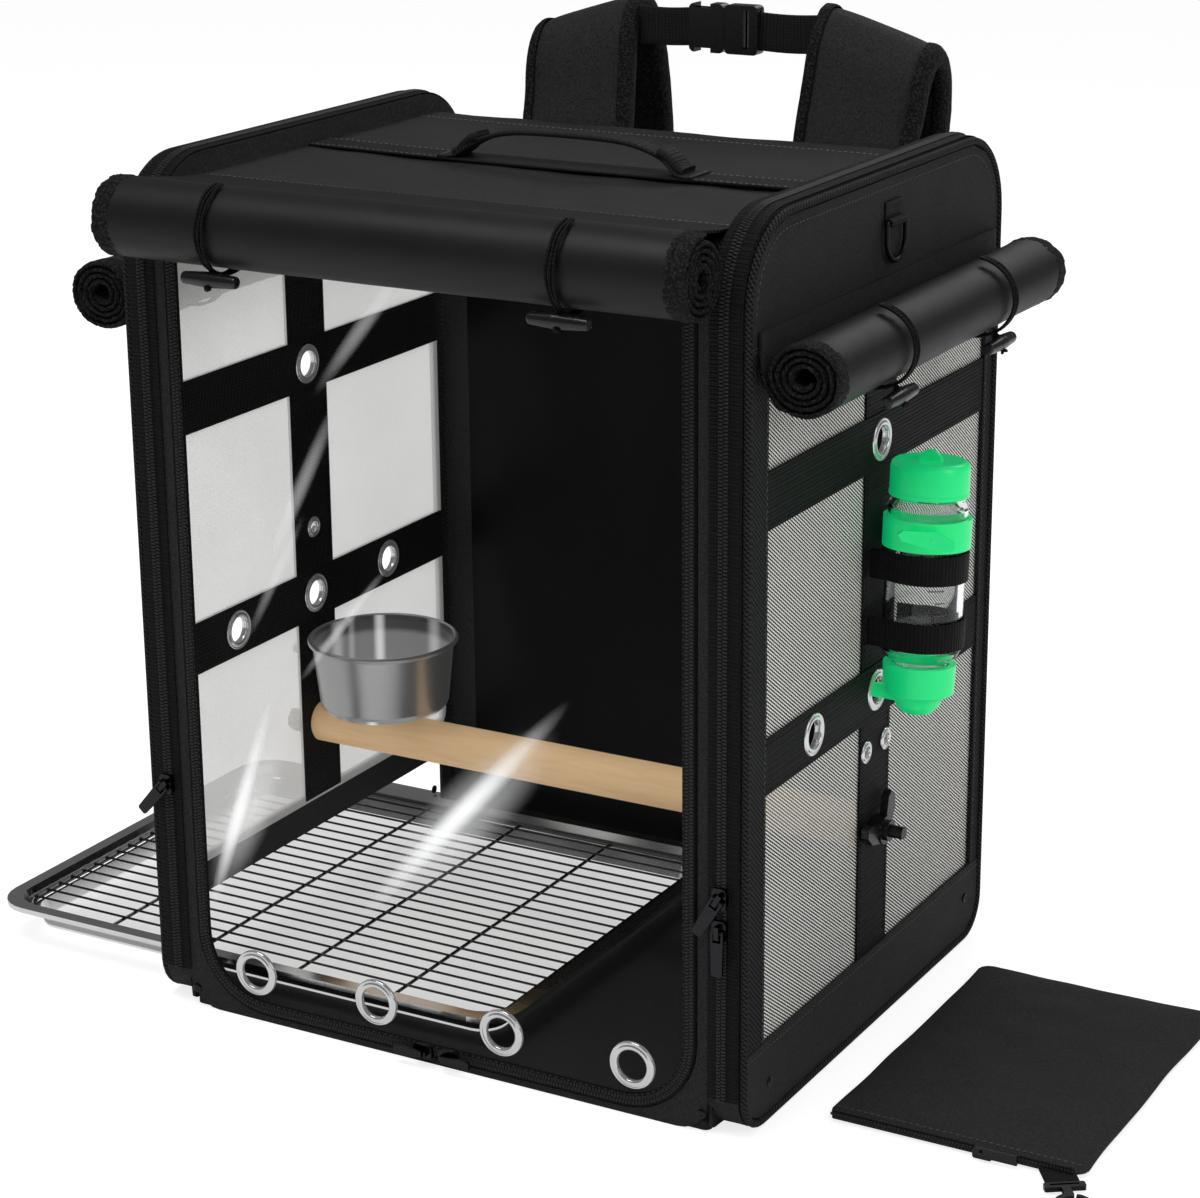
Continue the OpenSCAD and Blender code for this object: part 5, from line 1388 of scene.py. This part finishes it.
class CARRIER_OT_shoulder_straps(PieceOperator, bpy.types.Operator):
    """Padded shoulder straps with their binding, air mesh, webbing and tails"""
    bl_idname = "carrier.shoulder_straps"
    bl_label = "Shoulder straps"

    def execute(self, context):
        for side, name in ((-1, "left"), (1, "right")):
            splay = [Vector((side * (STRAP_X + max(0, z - 505) * 0.07), y, z)) for y, z in STRAP_PATH]
            path = resample(smooth(splay, 6), 5)
            pad, lining, edge = Piece(), Piece(), Piece()
            pad.sweep(path, self.section, across=X)
            lining.sweep(path[2:-2], self.lining_section, across=X)
            for s in (-1, 1):
                self.bind(edge, path, s)
            for piece in (pad, lining, edge):
                self.tilt(piece, side)
            made = pad.make(name + "_strap_pad", "black_fabric", nodes=[name + "_shoulder_strap"], sharp=60)
            lining.make(name + "_strap_air_mesh", "strap_padding")
            edge.make(name + "_strap_binding", "strap_padding")
        self.webbing()
        return {"FINISHED"}

    @staticmethod
    def tilt(piece, side):
        """The crests drop towards the outside, as the pads fall open."""
        for p in piece.points:
            share = share_between(p.z, 500, 560)
            p.z -= (0.30 * (side * p.x - STRAP_X - 5) + 5) * share * share * (3 - 2 * share)

    @staticmethod
    def width(share):
        """Half the pad's width, which narrows to its lower end."""
        end = max(0.0, (share - 0.93) / 0.07)
        return STRAP_W / 2 * (1 - 0.42 * end * end)

    def section(self, share):
        wide, thick = self.width(share) - 1, STRAP_T / 2 - 0.6
        turns = [2 * math.pi * k / 40 for k in range(40)]
        return [(wide * signed_power(math.cos(a), 0.55), thick * signed_power(math.sin(a), 0.62)) for a in turns]

    def lining_section(self, share):
        wide = self.width(share) - 9
        top = [(wide * (1 - k / 6), -STRAP_T / 2 + 0.5 * (1 - abs(1 - k / 6) ** 3)) for k in range(13)]
        return [(s, -h - 0.2) for s, h in top] + [(-s, -h - 1.5) for s, h in top]

    def bind(self, piece, path, s):
        """Tape folded over one edge of the pad."""
        rows = []
        for i, (p, t) in enumerate(zip(path, tangents(path))):
            up = t.cross(X)
            wide = self.width(i / (len(path) - 1)) - 8
            row = []
            for k in range(13):
                a = math.radians(-100 + 200 * k / 12)
                outer = abs(a) < math.pi / 2
                fuzz = 0.25 * noise.noise(p / 3 + Vector((k, s * 5, 0)))
                reach = wide + (8.0 + fuzz) * math.cos(a) ** 0.5 if outer else wide
                lift = (STRAP_T / 2 - 0.1 + fuzz) * math.sin(a) * (0.96 if outer else 0.92)
                row.append(p + X * (s * reach) + up * lift)
            rows.append(row if s < 0 else row[::-1])
        piece.slab(rows, 0.8)

    @staticmethod
    def webbing():
        """Tails down the back wall, and the chest strap on both sides of the buckle."""
        tails = Piece()
        for side in (-1, 1):
            path = resample(smooth(at_x(TAIL_PATH, side * STRAP_X), 5), 4)
            tails.sweep(path, strap_section(WEBBING_W, 1.6), across=X)
        low, high = corners("buckle_socket")
        chest_y, chest_z = (low.y + high.y) / 2, (low.z + high.z) / 2
        inner = STRAP_X - STRAP_W / 2 + 10
        for a, b in ((-inner, low.x + 0.5), (17.5, inner)):
            bow = [Vector((a + (b - a) * k / 8, chest_y, chest_z - 1.2 * math.sin(math.pi * k / 8))) for k in range(9)]
            tails.sweep(bow, strap_section(WEBBING_W, 1.7), facing=-Y)
        tails.make("strap_webbing_bands", "black_webbing", nodes=["strap_webbing"], look="lit_webbing")


class CARRIER_OT_bottle_bands(PieceOperator, bpy.types.Operator):
    """Elastic bands round the bottle, its moulded scale and its screw cap"""
    bl_idname = "carrier.bottle_bands"
    bl_label = "Bottle bands, scale and cap"

    def execute(self, context):
        up = Vector((0, -math.sin(BOTTLE_LEAN), math.cos(BOTTLE_LEAN)))
        base, side = Vector((BOTTLE_X, POST_Y, LOWER_Z)), up.cross(X)
        bands, scale = Piece(), Piece()
        seat = SIDE_IN + WEB_T - BOTTLE_X + 0.3
        flat = [(seat, -20)] + arc(0, 0, BOTTLE_R + 1.3, -120, 120, 30) + [(seat, 20)]
        for z in (42, 83):
            path = resample([base + up * z + X * a + side * b for a, b in flat], 3)
            bands.sweep(path, strap_section(18, 1.5), across=up)
        bands.make("bottle_elastic", "black_webbing", nodes=["bottle_loops"])
        for k in range(11):
            z = 34 + 7.4 * k
            # The bands hide the marks behind them
            if 31 < z < 53 or 72 < z < 94:
                continue
            span = 16 if k % 5 else 26
            turns = [math.radians(a) for a in range(-35 - span, -34, 4)]
            marks = [base + up * z + (X * math.cos(a) + side * math.sin(a)) * (BOTTLE_R + 0.12) for a in turns]
            scale.sweep(marks, strap_section(0.8, 0.2), across=up)
        scale.make("bottle_scale", "clear_sheet", look="thread")
        self.cap(base + up * 124.4, up, side)
        return {"FINISHED"}

    @staticmethod
    def cap(foot, up, side):
        """Screw cap: a smooth skirt, a soft shoulder and a grip fin."""
        piece = Piece()
        piece.lathe([(16.6, 0.0), (23.4, 0.0), (24.0, 0.5), (24.0, 2.4), (23.7, 2.8), (23.75, 16.6), (23.5, 18.4),
                     (22.8, 20.0), (21.4, 21.2), (19.4, 21.7), (17.6, 21.2), (15.5, 21.0), (0.4, 21.0)],
                    foot, up, 64)
        rows = []
        for k in range(11):
            p = foot + up * (20.5 + 7.2 * math.sin(math.pi * k / 10) ** 0.55) + X * (8 - 1.6 * k)
            low = foot + up * 20.6 + X * (p - foot).dot(X)
            rows.append([low + side * 1.7, p + side * 1.3 - up * 0.5, p, p - side * 1.3 - up * 0.5, low - side * 1.7])
        piece.grid(rows)
        for row, turned in ((rows[0], False), (rows[-1], True)):
            first = len(piece.points)
            piece.points += row
            piece.turn([first + k for k in range(5)], turned)
        piece.make("bottle_cap_smooth", "green_plastic", "bottle_cap", nodes=["bottle_cap"], sharp=30)


class CARRIER_OT_pouch(PieceOperator, bpy.types.Operator):
    """Storage pouch with its zip and hook loop"""
    bl_idname = "carrier.pouch"
    bl_label = "Pouch"

    def execute(self, context):
        centre = Vector((POUCH_X, POUCH_Y, 0))
        cloth = Piece()
        n_u, n_v = 40, 56
        rows_top, rows_low = [], []
        for i in range(n_v + 1):
            v = -1 + 2 * i / n_v
            top, under = [], []
            for k in range(n_u + 1):
                u = -1 + 2 * k / n_u
                x, y = self.soft_square(u, v, POUCH_W / 2 - 1.5, POUCH_L / 2 - 0.8, 9)
                p = centre + Vector((x, y, 0))
                puff = (1 - u ** 4) * (1 - v ** 6)
                wave = crease(p, 28, 1.0) + crease(p, 60, 1.2)
                top.append(p + Z * (3.2 + 5.0 * puff + wave * puff))
                under.append(p + Z * (2.4 - 2.3 * min(1, puff * 3)))
            rows_top.append(top)
            rows_low.append(under)
        a = cloth.grid(rows_top)
        b = cloth.grid(rows_low, flip=True)
        rim = ([(0, k) for k in range(n_u)] + [(i, n_u) for i in range(n_v)]
               + [(n_v, k) for k in range(n_u, 0, -1)] + [(i, 0) for i in range(n_v, 0, -1)])
        ring = [i * (n_u + 1) + k for i, k in rim]
        for s, t in zip(ring, ring[1:] + ring[:1]):
            cloth.face([b + s, b + t, a + t, a + s])
        made = cloth.make("pouch_cloth", "black_fabric", nodes=["pouch"], sharp=70)
        self.trim()
        return {"FINISHED"}

    @staticmethod
    def soft_square(u, v, half_w, half_l, radius):
        """Square coordinates to a rounded rectangle whose sides bow in a little."""
        x, y = u * half_w, v * half_l
        over_x, over_y = abs(x) - (half_w - radius), abs(y) - (half_l - radius)
        if over_x > 0 and over_y > 0:
            edge = max(over_x, over_y) / math.hypot(over_x, over_y)
            x = math.copysign(half_w - radius + over_x * edge, x)
            y = math.copysign(half_l - radius + over_y * edge, y)
        wave = 1.5 * noise.noise(Vector((2.2 * v, math.copysign(5, u), 0)))
        x -= math.copysign((1.6 * (1 - v * v) + wave) * abs(u) ** 3, x)
        if v > 0:
            y -= (2.4 * (1 - u * u) + 1.5 * noise.noise(Vector((2.5 * u, 9, 0)))) * v ** 3
        return x, y

    @staticmethod
    def trim():
        """Zip along the front edge, the loop that carries the hook, and a seam."""
        tape, coil, thread = Piece(), Piece(), Piece()
        front, half = POUCH_Y - POUCH_L / 2, POUCH_W / 2
        path = [Vector((x, front + 1.2, 3.4)) for x in range(int(POUCH_X - half + 6), int(POUCH_X + half - 4), 6)]
        tape.sweep(path, strap_section(5.4, 1.6), across=Z)
        coil.teeth([p - Y * 0.9 for p in path], facing=-Y, gap=0.95, reach=1.7, height=0.7)
        turn = math.radians(35)
        out = Vector((math.sin(turn), -math.cos(turn), 0))
        start = Vector((384, front - 2, 2.7)) - out * 6
        tape.sweep(resample([start, start + out * 17.5], 2), strap_section(20, 2.0), across=Z.cross(out))
        tape.make("pouch_tape", "black_webbing")
        coil.make("pouch_zip_teeth", "zip", sharp=30)
        thread.stitches([Vector((POUCH_X + x, front + 8, 5.9)) for x in (7 - half, half - 7)], Z)
        thread.make("pouch_stitches", "black_webbing", look="thread")


class CARRIER_OT_studs(PieceOperator, bpy.types.Operator):
    """Snap studs near the cabin's foot"""
    bl_idname = "carrier.studs"
    bl_label = "Snap studs"

    def execute(self, context):
        piece = Piece()
        dome = [(3.0, 0.0), (2.9, 0.7), (2.3, 1.1), (1.6, 1.2), (1.2, 0.85), (0.7, 1.0), (0.1, 1.05)]
        spots = [(Vector((s * 181.4, -HALF_D + 0.3, 12)), -Y) for s in (-1, 1)]
        for side in (-1, 1):
            spots += [(Vector((side * (SIDE_OUT - 0.4), y, z)), X * side) for y, z in ((-140, 24), (150, 30))]
        for centre, out in spots:
            piece.lathe(dome, centre, out, 20)
        piece.make("snap_studs", "zip_metal")
        return {"FINISHED"}


class CARRIER_OT_eyelets(PieceOperator, bpy.types.Operator):
    """Rolled steel eyelets of the walls and the door"""
    bl_idname = "carrier.eyelets"
    bl_label = "Eyelets"

    # Outer lip, groove, rolled lip and barrel: share of the way from the bore to the rim, and height
    LIP = [(1, 0.1), (0.97, 0.5), (0.9, 0.8), (0.8, 0.78), (0.72, 0.5), (0.64, 0.55), (0.52, 1.0), (0.36, 1.2),
           (0.2, 1.15), (0.06, 0.85), (0, 0.45), (0, -1.7)]

    def execute(self, context):
        walls, door = Piece(), Piece()
        for side, extra in ((1, PAIR_EYES), (-1, SINGLE_EYE)):
            for spots, radius, bore in ((BIG_EYES, 13, 8.5), (extra, 7, 3.6)):
                for y, z in spots:
                    for x, out in ((SIDE_IN + WEB_T - 0.1, side), (MESH_IN + 0.1, -side)):
                        self.ring(walls, Vector((side * x, y, z)), X * out, radius, bore)
        walls.make("rolled_wall_eyelets", "eyelet_steel", nodes=["wall_eyelets"], sharp=60)
        low, high = corners("door_eyelets")
        for k in (-3, -1, 1, 3):
            for y, out in ((low.y + 1.15, -Y), (high.y - 1.15, Y)):
                spot = Vector((k * (high.x - DOOR_EYE_R) / 3, y, (low.z + high.z) / 2))
                self.ring(door, spot, out, DOOR_EYE_R, DOOR_EYE_BORE)
        door.make("rolled_door_eyelets", "eyelet_steel", "door", nodes=["door_eyelets"], sharp=60)
        return {"FINISHED"}

    def ring(self, piece, centre, out, radius, bore):
        """One face of an eyelet."""
        profile = [(bore + share * (radius - bore), height) for share, height in self.LIP]
        piece.lathe(profile, centre, out, 40, closed=False)


class CARRIER_OT_rack(PieceOperator, bpy.types.Operator):
    """Welded wire rack in the tray"""
    bl_idname = "carrier.rack"
    bl_label = "Wire rack"

    def execute(self, context):
        low, high = corners("wire_rack")
        middle, level = (low + high) / 2, low.z + 2.2
        length, width = high.x - low.x - 4.4, high.y - low.y - 4.4
        piece = Piece()
        rim = [Vector((a, b, level)) for a, b in rounded(length, width, 17, middle.x, middle.y, 8)]
        piece.sweep(rim, round_section(1.75), across=Z, closed=True)
        for i in range(1, 5):
            x = middle.x - length / 2 + i * length / 5
            path = [Vector((x, middle.y + s * width / 2, level)) for s in (-1, 0, 1)]
            piece.sweep(path, round_section(1.15, 8), across=Z)
        for i in range(1, 22):
            y = middle.y - width / 2 + i * width / 22
            path = [Vector((middle.x + s * length / 2, y, level + 1.9)) for s in (-1, 0, 1)]
            piece.sweep(path, round_section(0.85, 8), across=Z)
        piece.make("welded_rack", "polished_steel", "rack", nodes=["wire_rack"], look="rack")
        return {"FINISHED"}


# Which look each rigid node of the frame takes
RIGID = {
    "tray": ["tray"],
    "brushed_steel": ["bowl"],
    "bolt_steel": ["perch_bolts"],
    "zip_metal": ["right_upper_slider", "right_upper_pull", "right_lower_slider", "right_lower_pull", "left_slider",
                  "left_pull", "door_left_slider", "door_right_slider", "pouch_slider"],
    "dark_metal": ["left_dring", "right_dring", "pouch_hook", "hook_gate"],
    "black_plastic": ["front_left_toggle", "front_right_toggle", "left_front_toggle", "left_back_toggle",
                      "right_front_toggle", "right_back_toggle", "strap_adjusters", "buckle_socket", "buckle_plug",
                      "left_wing_nut", "right_wing_nut", "bowl_nut"],
    "green_plastic": ["bottle_clip", "clip_lever", "bottle_spout"],
    "clear_plastic": ["bottle"],
    "wood": ["perch"],
}


class CARRIER_OT_rigid_parts(PieceOperator, bpy.types.Operator):
    """Finishes of the rigid parts that the frame carries"""
    bl_idname = "carrier.rigid_parts"
    bl_label = "Rigid parts"

    def execute(self, context):
        for look, nodes in RIGID.items():
            for name in nodes:
                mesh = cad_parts[name].data
                mesh.materials.clear()
                mesh.materials.append(finish(look))
        return {"FINISHED"}


class CARRIER_OT_stage(PieceOperator, bpy.types.Operator):
    """Floor, light and camera"""
    bl_idname = "carrier.stage"
    bl_label = "Stage"

    def execute(self, context):
        stage = context.scene.carrier_stage
        self.floor()
        self.sky(stage.sky)
        self.lamp("key", (-0.5, -0.9, 3.0), (1.6, 1.2), stage.key)
        self.lamp("fill", (2.6, -0.3, 1.5), (1.2, 1.6), stage.fill)
        self.lamp("back", (0.3, 2.0, 2.0), (2.0, 1.0), stage.fill)
        self.camera(stage)
        context.scene.view_settings.view_transform = "Standard"
        return {"FINISHED"}

    @staticmethod
    def rays(tree):
        """1 for what the camera sees, also through glass, and 1 for reflections."""
        path = tree.nodes.new("ShaderNodeLightPath")
        camera, glass, glossy = (Value(tree, path.outputs[f"Is {kind} Ray"])
                                 for kind in ("Camera", "Transmission", "Glossy"))
        return camera.math("MAXIMUM", glass), glossy

    def floor(self):
        """A wide floor that the camera sees as nearly white."""
        half = 6.0
        mesh = bpy.data.meshes.new("floor")
        mesh.from_pydata([(-half, -half, 0), (half, -half, 0), (half, half, 0), (-half, half, 0)], [], [(0, 1, 2, 3)])
        floor = bpy.data.objects.new("floor", mesh)
        bpy.context.scene.collection.objects.link(floor)
        floor.location.z = -0.0004
        mix = Finish("floor", (0.9, 0.9, 0.9), 0.9)
        light = mix.add("Emission", Strength=1.5)
        blend = mix.add("MixShader", Fac=self.rays(mix.tree)[0] * 0.52)
        mix.tree.links.new(mix.shader.outputs[0], blend.inputs[1])
        mix.tree.links.new(light.outputs[0], blend.inputs[2])
        mix.tree.links.new(blend.outputs[0], mix.tree.nodes["Material Output"].inputs[0])
        mesh.materials.append(mix.material)

    def sky(self, strength):
        """Even light all round, white to the camera and dimmer in reflections."""
        world = bpy.data.worlds.new("studio")
        world.use_nodes = True
        tree = world.node_tree
        ground = tree.nodes["Background"]
        ground.inputs[0].default_value = (1, 1, 1, 1)
        seen, glossy = self.rays(tree)
        soft = strength - glossy * (strength * 0.75)
        tree.links.new((soft + seen * (1 - soft)).socket, ground.inputs[1])
        bpy.context.scene.world = world

    @staticmethod
    def lamp(name, place, size, strength):
        data = bpy.data.lights.new(name, "AREA")
        data.shape = "RECTANGLE"
        data.size, data.size_y = size
        data.energy = strength
        lamp = bpy.data.objects.new(name, data)
        bpy.context.scene.collection.objects.link(lamp)
        lamp.location = place
        lamp.rotation_mode = "QUATERNION"
        lamp.rotation_quaternion = (Vector((0, 0, 0.27)) - Vector(place)).to_track_quat("-Z", "Y")

    @staticmethod
    def camera(stage):
        data = bpy.data.cameras.new("camera")
        data.sensor_width = 36
        data.lens = stage.lens
        camera = bpy.data.objects.new("camera", data)
        bpy.context.scene.collection.objects.link(camera)
        a, e, r = stage.azimuth, stage.elevation, stage.roll
        back = Vector((math.sin(a) * math.cos(e), -math.cos(a) * math.cos(e), math.sin(e)))
        right = Vector((math.cos(a), math.sin(a), 0))
        up = back.cross(right)
        right, up = right * math.cos(r) + up * math.sin(r), up * math.cos(r) - right * math.sin(r)
        turn = Matrix((right, up, back)).transposed().to_4x4()
        camera.matrix_world = Matrix.Translation((0.934, -1.616, 0.854)) @ turn
        bpy.context.scene.camera = camera


class CARRIER_PT_panel(bpy.types.Panel):
    """Lists the carrier's settings and pieces"""
    bl_label = "Bird travel carrier"
    bl_idname = "CARRIER_PT_panel"
    bl_space_type = "VIEW_3D"
    bl_region_type = "UI"
    bl_category = "Carrier"

    def draw(self, context):
        for name, group in GROUPS.items():
            box = self.layout.box()
            for setting in group.__annotations__:
                box.prop(getattr(context.scene, name), setting)
        for operator in PIECES:
            self.layout.operator(operator.bl_idname)


GROUPS = {"carrier_sizes": CarrierSizes, "carrier_colours": CarrierColours, "carrier_stage": CarrierStage}
PIECES = (
    CARRIER_OT_stage, CARRIER_OT_rigid_parts, CARRIER_OT_eyelets, CARRIER_OT_rack, CARRIER_OT_side_walls,
    CARRIER_OT_gussets, CARRIER_OT_top, CARRIER_OT_front_and_back, CARRIER_OT_door, CARRIER_OT_windows,
    CARRIER_OT_curtains, CARRIER_OT_handle, CARRIER_OT_shoulder_straps, CARRIER_OT_bottle_bands, CARRIER_OT_pouch,
    CARRIER_OT_studs,
)


def register():
    for name, group in GROUPS.items():
        bpy.utils.register_class(group)
        setattr(bpy.types.Scene, name, PointerProperty(type=group))
    for piece in (*PIECES, CARRIER_PT_panel):
        bpy.utils.register_class(piece)


def unregister():
    for piece in (CARRIER_PT_panel, *reversed(PIECES)):
        bpy.utils.unregister_class(piece)
    for name, group in GROUPS.items():
        delattr(bpy.types.Scene, name)
        bpy.utils.unregister_class(group)


def main():
    """Makes every piece in order."""
    register()
    for piece in PIECES:
        category, call = piece.bl_idname.split(".")
        getattr(getattr(bpy.ops, category), call)()


if __name__ == "__main__":
    main()
